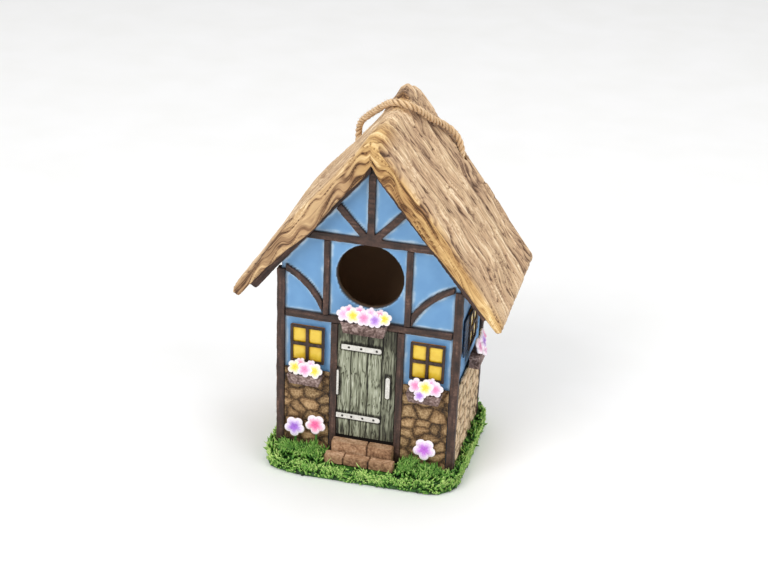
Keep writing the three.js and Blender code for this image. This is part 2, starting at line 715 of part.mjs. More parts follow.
const doorBoxBack = onTimber + STRAP_THICKNESS;
const doorBoxSize = [DOOR_BOX_WIDTH, DOOR_BOX_HEIGHT];
addPlanter(front, 'door', DOOR_BOX_X, doorBoxTop, doorBoxSize, doorBoxBack, DOOR_FLOWERS);

/** A single flower on a stem that stands on the lawn, close in front of the stonework. */
function groundFlower(radius, height) {
  const stemLength = height - wallBottom;
  const stem = new THREE.CylinderGeometry(STEM_RADIUS, STEM_RADIUS, stemLength, 8).rotateX(Math.PI / 2);
  stem.translate(0, -FLOWER_THICKNESS / 2, -stemLength / 2);
  return joined([flower(radius, Math.PI / 10), stem]);
}

const GROUND_FLOWERS = {
  left: [-42.4, 24.6, GROUND_FLOWER_RADIUS],
  middle: [-29.4, 28.2, GROUND_FLOWER_RADIUS],
  right: [37.8, 23.4, GROUND_FLOWER_RADIUS + 0.6],
};
for (const [name, [x, z, radius]] of Object.entries(GROUND_FLOWERS)) {
  const mesh = add(front, `ground_flower_${name}`, groundFlower(radius, z), 'petal');
  mesh.position.set(x, -onStone - 1.6, z);
}

// ---- Stonework ----

function stonePanel(x0, x1) {
  return board(x0, x1, wallBottom, STONE_TOP, GAP, STONE_THICKNESS);
}

function rearStones(half) {
  const opening = new THREE.BoxGeometry(CLEANOUT_WIDTH, 4 * onStone, CLEANOUT_HEIGHT);
  opening.translate(0, 0, CLEANOUT_BOTTOM + CLEANOUT_HEIGHT / 2);
  const pilot = drill(SCREW_RADIUS + SCREW_CLEARANCE, 0, pivotZ, 4 * onStone);
  return cut(stonePanel(-half, half), [opening, pilot]);
}

const stoneInner = doorPostOuter + GAP;
const stoneOuter = postInner - GAP;
const sideHalf = HOUSE_DEPTH / 2 - POST_WIDTH - GAP;
add(front, 'stones_front_left', stonePanel(-stoneOuter, -stoneInner), 'stone');
add(front, 'stones_front_right', stonePanel(stoneInner, stoneOuter), 'stone');
add(walls.left, 'stones_side_left', stonePanel(-sideHalf, sideHalf), 'stone');
add(walls.right, 'stones_side_right', stonePanel(-sideHalf, sideHalf), 'stone');
add(rear, 'stones_rear', rearStones(stoneOuter), 'stone');

// ---- Steps ----

const stepBack = GAP + TIMBER_THICKNESS + GAP;
const upperStepTop = DOOR_BOTTOM - DOOR_ABOVE_STEP;
const lowerStepTop = upperStepTop - STEP_RISE;
const upperHalf = UPPER_STEP_WIDTH / 2;
const lowerHalf = LOWER_STEP_WIDTH / 2;
const upperStep = board(-upperHalf, upperHalf, wallBottom, upperStepTop, stepBack, STEP_TREAD);
const lowerStepBack = stepBack + STEP_TREAD + GAP;
const lowerStep = board(-lowerHalf, lowerHalf, wallBottom, lowerStepTop, lowerStepBack, STEP_TREAD);
add(front, 'step_upper', upperStep, 'brick');
add(front, 'step_lower', lowerStep, 'brick');

// ---- Clean-out cover ----

function coverPlate() {
  const half = CLEANOUT_WIDTH / 2 + COVER_LAP;
  const bottom = CLEANOUT_BOTTOM - COVER_LAP - pivotZ;
  const top = CLEANOUT_BOTTOM + CLEANOUT_HEIGHT + COVER_HEAD + COVER_LAP - pivotZ;
  const corner = COVER_LAP;
  const shape = new THREE.Shape();
  shape.absarc(half - corner, top - corner, corner, 0, Math.PI / 2, false);
  shape.absarc(-half + corner, top - corner, corner, Math.PI / 2, Math.PI, false);
  shape.absarc(-half + corner, bottom + corner, corner, Math.PI, 1.5 * Math.PI, false);
  shape.absarc(half - corner, bottom + corner, corner, 1.5 * Math.PI, 2 * Math.PI, false);
  const plate = slab(shape, onStone, COVER_THICKNESS);
  return cut(plate, [drill(SCREW_RADIUS + SCREW_CLEARANCE, 0, 0, 8 * COVER_THICKNESS)]);
}

function pivotScrew() {
  const headStart = onStone + COVER_THICKNESS + GAP;
  const reach = headStart + WALL_THICKNESS; // as deep as the wall is thick
  const headEnd = headStart + SCREW_HEAD_HEIGHT;
  const profile = [
    [0, -WALL_THICKNESS],
    [SCREW_RADIUS, -WALL_THICKNESS],
    [SCREW_RADIUS, reach - WALL_THICKNESS],
    [SCREW_HEAD_RADIUS, headStart],
    [SCREW_HEAD_RADIUS * 0.8, headEnd - SCREW_HEAD_HEIGHT * 0.3],
    [0, headEnd],
  ];
  const points = profile.map(([radius, out]) => new THREE.Vector2(radius, out));
  return new THREE.LatheGeometry(points, 24).rotateX(Math.PI);
}

add(rear, 'cleanout_cover', coverPlate(), 'cover').position.z = pivotZ;
add(rear, 'pivot_screw', pivotScrew(), 'screw').position.z = pivotZ;

// ---- Rope ----

function rope() {
  const points = ROPE_POINTS.map(([x, y, z]) => new THREE.Vector3(x, y, z));
  const path = new THREE.CatmullRomCurve3(points, false, 'centripetal');
  const section = new THREE.Shape();
  section.absarc(0, 0, ROPE_DIAMETER / 2, 0, 2 * Math.PI, false);
  return new THREE.ExtrudeGeometry(section, {
    extrudePath: path,
    steps: ROPE_STEPS,
    curveSegments: ROPE_SIDES,
    bevelEnabled: false,
  });
}

add(birdhouse, 'hanging_rope', rope(), 'rope');
for (const [name, side] of [['left', -1], ['right', 1]]) {
  const knot = add(birdhouse, `knot_${name}`, new THREE.IcosahedronGeometry(KNOT_RADIUS, 2), 'rope');
  knot.position.set(side * ROPE_HOLE_X, ROPE_HOLE_Y, underside(ROPE_HOLE_X) - KNOT_BELOW_ROOF);
}

export default birdhouse;
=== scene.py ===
"""The looks of a cottage birdhouse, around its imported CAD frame.

Lengths are in millimetres until a mesh is made.
"""

import itertools
import json
import math

import bpy
import numpy as np
from mathutils import Matrix, Vector
from mathutils.bvhtree import BVHTree

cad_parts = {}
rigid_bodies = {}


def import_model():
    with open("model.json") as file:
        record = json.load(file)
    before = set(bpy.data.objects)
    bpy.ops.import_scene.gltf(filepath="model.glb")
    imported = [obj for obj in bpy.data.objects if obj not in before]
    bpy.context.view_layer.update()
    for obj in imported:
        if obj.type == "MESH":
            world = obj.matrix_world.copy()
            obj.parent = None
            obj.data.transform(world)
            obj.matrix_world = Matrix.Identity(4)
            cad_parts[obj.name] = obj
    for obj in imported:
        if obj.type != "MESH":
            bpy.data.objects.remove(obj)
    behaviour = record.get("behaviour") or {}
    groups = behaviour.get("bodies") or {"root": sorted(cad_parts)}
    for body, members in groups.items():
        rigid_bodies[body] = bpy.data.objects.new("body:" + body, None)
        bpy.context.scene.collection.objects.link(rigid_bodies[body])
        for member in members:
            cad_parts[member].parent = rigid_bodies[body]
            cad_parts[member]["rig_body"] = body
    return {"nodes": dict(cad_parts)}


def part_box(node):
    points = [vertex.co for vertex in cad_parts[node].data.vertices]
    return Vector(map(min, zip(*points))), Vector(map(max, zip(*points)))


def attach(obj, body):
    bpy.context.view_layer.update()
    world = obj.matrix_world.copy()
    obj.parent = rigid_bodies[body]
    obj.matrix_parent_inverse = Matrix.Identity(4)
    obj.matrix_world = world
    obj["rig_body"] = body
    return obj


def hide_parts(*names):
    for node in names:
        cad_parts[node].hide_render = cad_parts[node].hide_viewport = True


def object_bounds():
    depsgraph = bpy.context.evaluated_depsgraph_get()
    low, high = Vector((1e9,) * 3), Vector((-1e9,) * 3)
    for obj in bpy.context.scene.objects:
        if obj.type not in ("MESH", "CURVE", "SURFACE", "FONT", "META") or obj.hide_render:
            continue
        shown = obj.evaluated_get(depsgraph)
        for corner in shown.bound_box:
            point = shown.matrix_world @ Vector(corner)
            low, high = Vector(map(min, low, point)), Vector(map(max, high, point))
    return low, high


MM = 0.001
BOX_MARGIN = 0.02  # between the looks and the CAD model's box

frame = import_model()
cad_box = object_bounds()


# ---- Camera ----

CAMERA_PLACE = (193.4, -800.7, 508.7)
CAMERA_TARGET = (-0.83, 0.0, 104.0)
CAMERA_ROLL = math.radians(2.16)
CAMERA_LENS = 71.98
CAMERA_SENSOR = 36
CAMERA_RANGE = (0.01, 100)  # metres


def make_camera():
    data = bpy.data.cameras.new("camera")
    data.lens = CAMERA_LENS
    data.sensor_width = CAMERA_SENSOR
    data.clip_start, data.clip_end = CAMERA_RANGE
    camera = bpy.data.objects.new("camera", data)
    bpy.context.scene.collection.objects.link(camera)
    place = Vector(CAMERA_PLACE) * MM
    forward = (Vector(CAMERA_TARGET) * MM - place).normalized()
    right = forward.cross(Vector((0, 0, 1))).normalized()
    up = right.cross(forward)
    rolled_right = right * math.cos(CAMERA_ROLL) + up * math.sin(CAMERA_ROLL)
    rolled_up = up * math.cos(CAMERA_ROLL) - right * math.sin(CAMERA_ROLL)
    turn = Matrix((rolled_right, rolled_up, -forward)).transposed().to_4x4()
    camera.matrix_world = Matrix.Translation(place) @ turn
    bpy.context.scene.camera = camera


make_camera()


# ---- Noise, the same in each run ----


def hashed(cell, seed):
    """A number from 0 to 1 for each whole-numbered cell."""
    primes = (374761393, 668265263, 1442695041)
    h = np.full(len(cell), seed * 974634777 + 12345, np.int64)
    for axis in range(cell.shape[1]):
        h = h + cell[:, axis] * primes[axis]
    h &= 0xFFFFFFFF
    h = ((h ^ (h >> 13)) * 1274126177) & 0xFFFFFFFF
    h = ((h ^ (h >> 16)) * 974634777) & 0xFFFFFFFF
    return (h ^ (h >> 15)) / 0xFFFFFFFF


def noise(points, size, seed=0):
    """Smooth noise from -1 to 1. size is a feature's size, one number or one for each axis."""
    p = np.asarray(points, float) / size
    cell = np.floor(p).astype(np.int64)
    part = p - cell
    part = part * part * part * (part * (part * 6 - 15) + 10)
    total = np.zeros(len(p))
    for corner in itertools.product((0, 1), repeat=p.shape[1]):
        shares = [part[:, k] if c else 1 - part[:, k] for k, c in enumerate(corner)]
        weight = np.prod(shares, axis=0)
        total += weight * hashed(cell + np.array(corner), seed)
    return total * 2 - 1


def layered(points, size, seed=0, layers=3):
    """Noise with finer noise added to it."""
    total = sum(noise(points, np.asarray(size) / 2**k, seed + k) / 2**k for k in range(layers))
    return total / (2 - 2 ** (1 - layers))


def cells(points, size, seed, jitter):
    """Voronoi cells: how far each point is from a border, and its cell's own number."""
    p = np.asarray(points, float) / size
    home = np.floor(p).astype(np.int64)
    first = np.full(len(p), 1e9)
    second = np.full(len(p), 1e9)
    who = np.zeros(len(p))
    for neighbour in itertools.product((-1, 0, 1), repeat=p.shape[1]):
        cell = home + np.array(neighbour)
        middle = cell + 0.5
        for axis in range(p.shape[1]):
            middle[:, axis] += jitter * (hashed(cell, seed + axis + 1) - 0.5)
        away = p - middle
        distance = np.sqrt((away**2).sum(1))
        nearer = distance < first
        second = np.where(nearer, first, np.minimum(second, distance))
        first = np.where(nearer, distance, first)
        who = np.where(nearer, hashed(cell, seed + 7), who)
    return second - first, who


def step(value, low, high):
    """0 below low, 1 above high, and smooth between them."""
    t = np.clip((value - low) / (high - low), 0, 1)
    return t * t * (3 - 2 * t)


# ---- Meshes ----


def new_piece(name, points, faces, node, look, tones):
    """A finished piece made from points and faces."""
    mesh = bpy.data.meshes.new(name)
    mesh.from_pydata((np.asarray(points) * MM).tolist(), [], faces)
    mesh.validate()
    piece = bpy.data.objects.new(name, mesh)
    bpy.context.scene.collection.objects.link(piece)
    return dressed(piece, node, look, tones)


def dressed(piece, node, look, tones):
    """Gives a piece its vertex tones, material and body, and hides the CAD node it stands for."""
    mesh = piece.data
    mesh.polygons.foreach_set("use_smooth", [True] * len(mesh.polygons))
    for name, values in tones.items():
        values = np.asarray(values, np.float32)
        if values.ndim == 2:
            layer = mesh.attributes.new(name, "FLOAT_VECTOR", "POINT")
            layer.data.foreach_set("vector", values.ravel())
        else:
            layer = mesh.attributes.new(name, "FLOAT", "POINT")
            layer.data.foreach_set("value", values)
    mesh.materials.clear()
    mesh.materials.append(look)
    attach(piece, frame["nodes"][node]["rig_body"])
    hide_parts(node)
    return piece


def node_mesh(node):
    return frame["nodes"][node].data


def positions(mesh):
    co = np.zeros(len(mesh.vertices) * 3)
    mesh.vertices.foreach_get("co", co)
    return co.reshape(-1, 3) / MM


def set_positions(mesh, points):
    mesh.vertices.foreach_set("co", (points * MM).ravel())
    mesh.update()


def normals(mesh):
    out = np.zeros(len(mesh.vertices) * 3)
    mesh.vertex_normals.foreach_get("vector", out)
    return out.reshape(-1, 3)


def evenly_divided(node, voxel, name):
    """A copy of a CAD node with small even faces, ready to be shaped."""
    piece = bpy.data.objects.new(name, node_mesh(node).copy())
    bpy.context.scene.collection.objects.link(piece)
    remesh = piece.modifiers.new("even", "REMESH")
    remesh.mode = "VOXEL"
    remesh.voxel_size = voxel * MM
    graph = bpy.context.evaluated_depsgraph_get()
    made = bpy.data.meshes.new_from_object(piece.evaluated_get(graph))
    piece.modifiers.clear()
    piece.data = made
    return piece


def carved(node, voxel, relief, look, name=None):
    """A CAD node with relief.

    relief(points, normals) gives how far out each point moves, and the tones.
    """
    piece = evenly_divided(node, voxel, name or f"{node}_cast")
    co, out = positions(piece.data), normals(piece.data)
    lift, tones = relief(co, out)
    set_positions(piece.data, co + out * np.asarray(lift)[:, None])
    return dressed(piece, node, look, tones)


def tree_of(meshes):
    """One tree through all these meshes, for rays and distances."""
    points, faces = [], []
    for mesh in meshes:
        base = len(points)
        points += [tuple(v) for v in positions(mesh)]
        faces += [tuple(base + v for v in polygon.vertices) for polygon in mesh.polygons]
    return BVHTree.FromPolygons(points, faces)


def box_mm(node):
    low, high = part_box(node)
    return np.array(low) / MM, np.array(high) / MM


def kept_inside(points):
    """Points moved back inside the CAD model's box where they are past it."""
    low, high = (np.array(corner) / MM for corner in cad_box)
    return np.clip(points, low + BOX_MARGIN, high - BOX_MARGIN)


# ---- Materials ----


class Look:
    """A procedural material, built node by node on one Principled shader."""

    def __init__(self, name, roughness, **fixed):
        self.material = bpy.data.materials.new(name)
        self.material.use_nodes = True
        self.tree = self.material.node_tree
        self.shader = self.tree.nodes["Principled BSDF"]
        self.shader.inputs["Roughness"].default_value = roughness
        for socket, value in fixed.items():
            self.shader.inputs[socket.replace("_", " ")].default_value = value
        self.place = self.tree.nodes.new("ShaderNodeTexCoord").outputs["Object"]

    def node(self, kind, inputs=(), **settings):
        made = self.tree.nodes.new("ShaderNode" + kind)
        for key, value in settings.items():
            setattr(made, key, value)
        for key, value in dict(inputs).items():
            if isinstance(value, bpy.types.NodeSocket):
                self.tree.links.new(value, made.inputs[key])
            else:
                made.inputs[key].default_value = value
        return made

    def tone(self, name):
        return self.node("Attribute", attribute_name=name).outputs["Fac"]

    def hue(self, name):
        return self.node("Attribute", attribute_name=name).outputs["Color"]

    def grain(self, size, detail=3, stretch=(1, 1, 1), place=None):
        """Noise with features of about size millimetres, stretched along the axes."""
        scale = tuple(1 / (size * MM * s) for s in stretch)
        spread = self.node("Mapping", {"Vector": place or self.place, "Scale": scale})
        settings = {"Vector": spread.outputs["Vector"], "Scale": 1.0, "Detail": detail}
        return self.node("TexNoise", settings).outputs["Fac"]

    def ramp(self, value, stops):
        made = self.node("ValToRGB", {"Fac": value})
        band = made.color_ramp
        while len(band.elements) < len(stops):
            band.elements.new(0.5)
        for element, (at, colour) in zip(band.elements, stops):
            element.position = at
            element.color = linear(colour)
        return made.outputs["Color"]

    def levels(self, value, low, high, new_low=0.0, new_high=1.0):
        ends = {"From Min": low, "From Max": high, "To Min": new_low, "To Max": new_high}
        return self.node("MapRange", {"Value": value, **ends}).outputs["Result"]

    def mix(self, share, first, second, how="MIX"):
        made = self.node("Mix", data_type="RGBA", blend_type=how)
        for index, value in ((0, share), (6, first), (7, second)):
            if isinstance(value, bpy.types.NodeSocket):
                self.tree.links.new(value, made.inputs[index])
            else:
                made.inputs[index].default_value = value if index == 0 else linear(value)
        return made.outputs[2]

    def sum(self, first, second, how="ADD"):
        return self.node("Math", {0: first, 1: second}, operation=how).outputs[0]

    def worn(self, tone, grain, swing, low=0.3):
        """A tone that the grain moves up and down by swing."""
        return self.sum(tone, self.levels(grain, low, 1 - low, -swing, swing))

    def tinted(self, colour, share, strength, tint):
        """The colour multiplied by tint, as far as share and strength say."""
        part = self.sum(share, strength, "MULTIPLY")
        return self.mix(part, colour, self.mix(1.0, colour, tint, "MULTIPLY"))

    def finish(self, colour, height=None, depth=0.1, strength=0.6, roughness=None):
        self.tree.links.new(colour, self.shader.inputs["Base Color"])
        if roughness is not None:
            self.tree.links.new(roughness, self.shader.inputs["Roughness"])
        if height is not None:
            bump = self.node("Bump", {"Height": height, "Distance": depth * MM, "Strength": strength})
            self.tree.links.new(bump.outputs["Normal"], self.shader.inputs["Normal"])
        return self.material


def linear(colour):
    """An sRGB colour, 0 to 255, as linear light."""
    scaled = [c / 255 for c in colour[:3]]
    light = [c / 12.92 if c <= 0.04045 else ((c + 0.055) / 1.055) ** 2.4 for c in scaled]
    return (*light, 1.0)


def thatch_look():
    look = Look("thatch", 0.82)
    flow = look.hue("flow")
    fibre = look.grain(0.9, 4, place=flow)
    line = look.sum(look.grain(2.0, 2, place=flow), 0.5, "SUBTRACT")
    line = look.sum(line, 0.0, "ABSOLUTE")
    mixed = look.worn(look.tone("tone"), fibre, 0.22, 0.25)
    mixed = look.sum(mixed, look.levels(line, 0.0, 0.05, -0.28, 0.03))
    slope = look.ramp(mixed, [(0.0, (92, 68, 50)), (0.16, (136, 108, 84)), (0.38, (182, 152, 120)),
                              (0.7, (214, 184, 146)), (1.0, (250, 230, 196))])
    gold = look.ramp(mixed, [(0.0, (84, 54, 26)), (0.18, (138, 98, 54)), (0.42, (180, 140, 86)),
                             (0.72, (212, 174, 112)), (1.0, (246, 218, 162))])
    both = look.mix(look.tone("gold"), slope, gold)
    blotch = look.levels(look.grain(16), 0.35, 0.65)
    return look.finish(look.tinted(both, blotch, 0.3, (226, 206, 204)), fibre, 0.35, 0.7)


def plaster_look():
    look = Look("plaster", 0.55)
    colour = look.ramp(look.worn(look.tone("edge"), look.grain(9, 4), 0.22),
                       [(0.0, (184, 208, 228)), (0.2, (146, 184, 218)),
                        (0.42, (116, 163, 206)), (1.0, (102, 150, 196))])
    inner = look.mix(look.tone("inner"), colour, (182, 146, 112))
    # The darkest colour is painted shade behind the door, along the timbers and inside the openings.
    shaded = look.mix(look.tone("dark"), inner, (34, 25, 20))
    return look.finish(shaded, look.grain(1.6, 4), 0.15, 0.35)


def pane_look():
    look = Look("amber_pane", 0.3, Coat_Weight=0.3)
    colour = look.ramp(look.worn(look.tone("crown"), look.grain(3), 0.12),
                       [(0.0, (128, 74, 6)), (0.3, (190, 130, 10)),
                        (0.7, (214, 170, 26)), (1.0, (228, 194, 62))])
    return look.finish(colour, look.grain(1.5, 2), 0.1, 0.3)


def door_look():
    look = Look("door_planks", 0.7)
    strand = look.grain(0.7, 4, (1, 1, 9))
    colour = look.ramp(look.worn(look.tone("tone"), strand, 0.2),
                       [(0.0, (30, 28, 20)), (0.3, (82, 82, 64)), (0.55, (132, 135, 113)),
                        (0.8, (166, 169, 147)), (1.0, (206, 206, 190))])
    # Painted shade: the plank past the last joint is tinted grey.
    shaded_plank = look.tinted(colour, look.tone("shaded_plank"), 0.55, (168, 164, 158))
    return look.finish(shaded_plank, strand, 0.2, 0.6)


def nail_look():
    look = Look("iron_nail", 0.4, Metallic=0.3)
    fine = look.grain(0.5, 2)
    colour = look.ramp(fine, [(0.3, (32, 30, 28)), (0.7, (78, 74, 68))])
    return look.finish(colour, fine, 0.08, 0.4)


def petal_look():
    look = Look("petal", 0.42)
    bloom = look.tone("bloom")
    share = look.levels(look.worn(bloom, look.grain(0.8), 0.1), 0.3, 0.95)
    tint = look.mix(share, look.hue("tint"), (252, 244, 250))
    colour = look.mix(look.levels(bloom, 0.0, 0.14), look.hue("eye"), tint)
    return look.finish(colour, look.grain(0.6, 2), 0.08, 0.3)


def leaf_look(name):
    look = Look(name, 0.6)
    colour = look.ramp(look.worn(look.tone("tone"), look.grain(6), 0.15),
                       [(0.0, (14, 38, 8)), (0.3, (52, 102, 30)),
                        (0.6, (110, 164, 60)), (1.0, (206, 232, 136))])
    return look.finish(colour, look.grain(0.5, 2), 0.08, 0.3)


def stone_look(name, pale):
    look = Look(name, 0.8)
    speck = look.grain(1.1, 5)
    mixed = look.worn(look.tone("tone"), speck, 0.22)
    colour = look.ramp(mixed, [(0.0, (30, 17, 6)), (0.35, (96, 72, 42)),
                               (0.62, (150, 122, 84)), (1.0, (206, 178, 136))])
    if pale:
        bright = look.ramp(mixed, [(0.0, (84, 64, 42)), (0.3, (176, 152, 118)),
                                   (0.6, (222, 200, 166)), (1.0, (248, 232, 206))])
        colour = look.mix(0.75, colour, bright)
    return look.finish(look.tinted(colour, look.tone("cell"), 0.4, (222, 190, 160)), speck, 0.3, 0.6)


def screw_look():
    look = Look("screw_steel", 0.35, Metallic=1.0)
    brushed = look.grain(0.5, 4)
    colour = look.ramp(brushed, [(0.3, (150, 150, 146)), (0.7, (206, 206, 202))])
    return look.finish(colour, brushed, 0.05, 0.3, look.levels(brushed, 0.3, 0.7, 0.28, 0.5))


def rope_look():
    look = Look("jute", 0.9, Sheen_Weight=0.25)
    fibre = look.grain(0.5, 4, place=look.hue("flow"))
    colour = look.ramp(look.worn(look.tone("tone"), fibre, 0.28, 0.25),
                       [(0.0, (52, 33, 16)), (0.34, (128, 94, 58)),
                        (0.66, (192, 154, 108)), (1.0, (236, 206, 166))])
    return look.finish(colour, fibre, 0.25, 0.8)


# Each has a roughness, its grain, how far that swings the tone, the bump's depth and
# strength, and the colours from the tone's dark end to its light one.
PLAIN_LOOKS = {
    "timber": (0.62, (1.2, 4), 0.15, 0.2, 0.5,
               [(0.0, (28, 17, 13)), (0.45, (58, 39, 31)), (0.75, (80, 56, 46)), (1.0, (118, 90, 76))]),
    "white_iron": (0.45, (1.1, 4), 0.2, 0.12, 0.4,
                   [(0.0, (54, 50, 43)), (0.3, (126, 122, 112)), (0.6, (198, 195, 187)),
                    (1.0, (226, 223, 216))]),
    "planter_clay": (0.8, (1.3, 4), 0.3, 0.3, 0.6,
                     [(0.0, (44, 30, 26)), (0.35, (84, 64, 58)), (0.6, (118, 96, 90)),
                      (1.0, (176, 154, 148))]),
    "brick": (0.75, (1.4, 4), 0.2, 0.25, 0.6,
              [(0.0, (50, 31, 19)), (0.35, (118, 84, 58)), (0.62, (166, 128, 95)),
               (1.0, (212, 178, 146))]),
    "shutter": (0.55, (0.8, 4, (1, 1, 8)), 0.2, 0.15, 0.5,
                [(0.0, (14, 18, 26)), (0.5, (30, 42, 60)), (1.0, (72, 96, 128))]),
}


def plain_look(name):
    roughness, grain, swing, depth, strength, stops = PLAIN_LOOKS[name]
    look = Look(name, roughness)
    fine = look.grain(*grain)
    colour = look.ramp(look.worn(look.tone("tone"), fine, swing), stops)
    return look.finish(colour, fine, depth, strength)


LOOKS = {
    "thatch": thatch_look(),
    "timber": plain_look("timber"),
    "plaster": plaster_look(),
    "pane": pane_look(),
    "door": door_look(),
    "iron": plain_look("white_iron"),
    "nail": nail_look(),
    "box": plain_look("planter_clay"),
    "petal": petal_look(),
    "grass": leaf_look("grass"),
    "leaf": leaf_look("leaf"),
    "stone": stone_look("stone", False),
    "pale_stone": stone_look("pale_stone", True),
    "brick": plain_look("brick"),
    "shutter": plain_look("shutter"),
    "screw": screw_look(),
    "rope": rope_look(),
}


# ---- Rope ----

ROPE_POINTS = [
    (-32, 49, 160.4), (-32, 49, 166), (-32, 49, 173), (-32.1, 48.9, 180), (-31.5, 47.4, 186),
    (-28.8, 43.8, 191.6), (-24, 38.8, 197), (-18.2, 32.8, 202.6), (-12, 26.4, 208.4),
    (-6.4, 20.4, 213.2), (-1, 16, 215.4), (4.8, 16, 214.6), (9.8, 20.8, 211.2),
    (14, 28.4, 205.4), (17.8, 36.8, 199.6), (21.6, 44, 195), (25.6, 48.4, 190.2),
    (29.2, 49.8, 185.6), (31.4, 49.3, 180.4), (32, 49, 173), (32, 49, 166), (32, 49, 160.4),
]
ROPE_DIAMETER = 4.3
ROPE_RING = 0.7
STRAND_REACH = 1.02
STRAND_RADIUS = 1.1
STRAND_PITCH = 10.5
STRAND_SIDES = 12
STRAY_FIBRES = 420
KNOT_RINGS = 130
KNOT_STRANDS = (0.62, 0.78, 6.0, 10)  # reach, radius, pitch and sides


def between(t, start, end, first, second):
    """The value at t on a straight run from first at start to second at end."""
    return ((end - t) * first + (t - start) * second) / (end - start)


def smooth_line(points, spacing):
    """A centripetal Catmull-Rom line through points, at even spacing."""
    p = np.asarray(points, float)
    p = np.vstack([2 * p[0] - p[1], p, 2 * p[-1] - p[-2]])
    fine = []
    for i in range(1, len(p) - 2):
        a, b, c, d = p[i - 1 : i + 3]
        knots = np.cumsum([0] + [np.linalg.norm(v) ** 0.5 for v in (b - a, c - b, d - c)])
        k0, k1, k2, k3 = knots
        for t in np.linspace(k1, k2, 40, endpoint=False):
            ab, bc = between(t, k0, k1, a, b), between(t, k1, k2, b, c)
            cd = between(t, k2, k3, c, d)
            early, late = between(t, k0, k2, ab, bc), between(t, k1, k3, bc, cd)
            fine.append(between(t, k1, k2, early, late))
    fine = np.array(fine + [p[-2]])
    along = np.concatenate([[0], np.cumsum(np.linalg.norm(np.diff(fine, axis=0), axis=1))])
    even = np.linspace(0, along[-1], int(round(along[-1] / spacing)) + 1)
    return np.stack([np.interp(even, along, fine[:, k]) for k in range(3)], 1)


def line_frames(line, closed=False):
    """The direction and two square directions at each point, turning as little as they can."""
    ahead = np.roll(line, -1, 0) - np.roll(line, 1, 0) if closed else np.gradient(line, axis=0)
    ahead /= np.linalg.norm(ahead, axis=1)[:, None]
    first = np.zeros_like(line)
    normal = np.array((1.0, 0.0, 0.0))
    for i, direction in enumerate(ahead):
        normal = normal - direction * (normal @ direction)
        normal /= np.linalg.norm(normal)
        first[i] = normal
    return ahead, first, np.cross(ahead, first)


def tube(line, radius_at, sides, closed=False):
    """A tube's points and faces. radius_at(angles) gives each point's radius, ring by ring."""
    _, first, second = line_frames(line, closed=closed)
    angle = np.linspace(0, 2 * math.pi, sides, endpoint=False)
    radius = radius_at(angle)
    cosine, sine = np.cos(angle)[None, :, None], np.sin(angle)[None, :, None]
    ring = first[:, None] * cosine + second[:, None] * sine
    points = (line[:, None] + ring * radius[..., None]).reshape(-1, 3)
    rows = len(line)
    faces = []
    for i in range(rows if closed else rows - 1):
        j = (i + 1) % rows
        for k in range(sides):
            m = (k + 1) % sides
            faces.append((i * sides + k, i * sides + m, j * sides + m, j * sides + k))
    if not closed:
        faces.append(tuple(range(sides))[::-1])
        faces.append(tuple((rows - 1) * sides + k for k in range(sides)))
    return points, faces


class Heap:
    """Closed shapes gathered into one mesh, with their tones."""

    def __init__(self):
        self.points, self.faces, self.tones, self.count = [], [], {}, 0

    def add(self, points, faces, **tones):
        self.points.append(np.asarray(points))
        self.faces.extend([tuple(int(v) + self.count for v in face) for face in faces])
        for name, values in tones.items():
            self.tones.setdefault(name, []).append(np.asarray(values, float))
        self.count += len(points)

    def piece(self, name, node, slot, look):
        tones = {key: np.concatenate(values) for key, values in self.tones.items()}
        return new_piece(name, np.concatenate(self.points), self.faces, node, look, tones)


def strand_tubes(heap, line, reach, radius, pitch, sides, closed=False):
    """Three strands twisted round a line, with the twist of their own yarns."""
    spacing = np.linalg.norm(np.diff(line, axis=0), axis=1).mean()
    turns = len(line) * spacing / pitch
    if closed:
        turns = round(turns)
    rate = 2 * math.pi * turns / len(line)
    _, first, second = line_frames(line, closed=closed)
    for strand in range(3):
        phase = np.arange(len(line)) * rate + strand * 2 * math.pi / 3
        middle = line + reach * (first * np.cos(phase)[:, None] + second * np.sin(phase)[:, None])

        def radius_at(angle, phase=phase, strand=strand):
            yarns = np.cos(5 * angle[None, :] - 2.2 * phase[:, None] + strand)
            where = np.stack([np.arange(len(line)) * spacing, np.full(len(line), 9.0 * strand)], 1)
            swell = noise(where, 5, 31)
            return radius * (1 + 0.09 * yarns + 0.14 * swell[:, None])

        points, faces = tube(middle, radius_at, sides, closed)
        axis_distance = np.linalg.norm(points - np.repeat(line, sides, 0), axis=1)
        # Painted shade: darker where a strand turns in towards the rope's middle, between the strands.
        tone = step(axis_distance, reach * 0.85, reach + radius) * 0.85
        around = np.linspace(0, 2 * math.pi, sides, endpoint=False)
        flow = np.stack([
            np.repeat(phase * pitch / (2 * math.pi) * 0.18, sides),
            np.tile(around, len(line)) * radius * 1.3,
            np.full(len(points), 7.0 * strand),
        ], 1) * MM
        heap.add(points, faces, tone=tone, flow=flow)


def spike_faces():
    """Faces of a bent three-sided spike: three points at its root, three at its bend, and its tip."""
    faces = [(2, 1, 0)]
    for k in range(3):
        m = (k + 1) % 3
        faces += [(k, m, 3 + m, 3 + k), (3 + k, 3 + m, 6)]
    return faces


SPIKE_FACES = spike_faces()


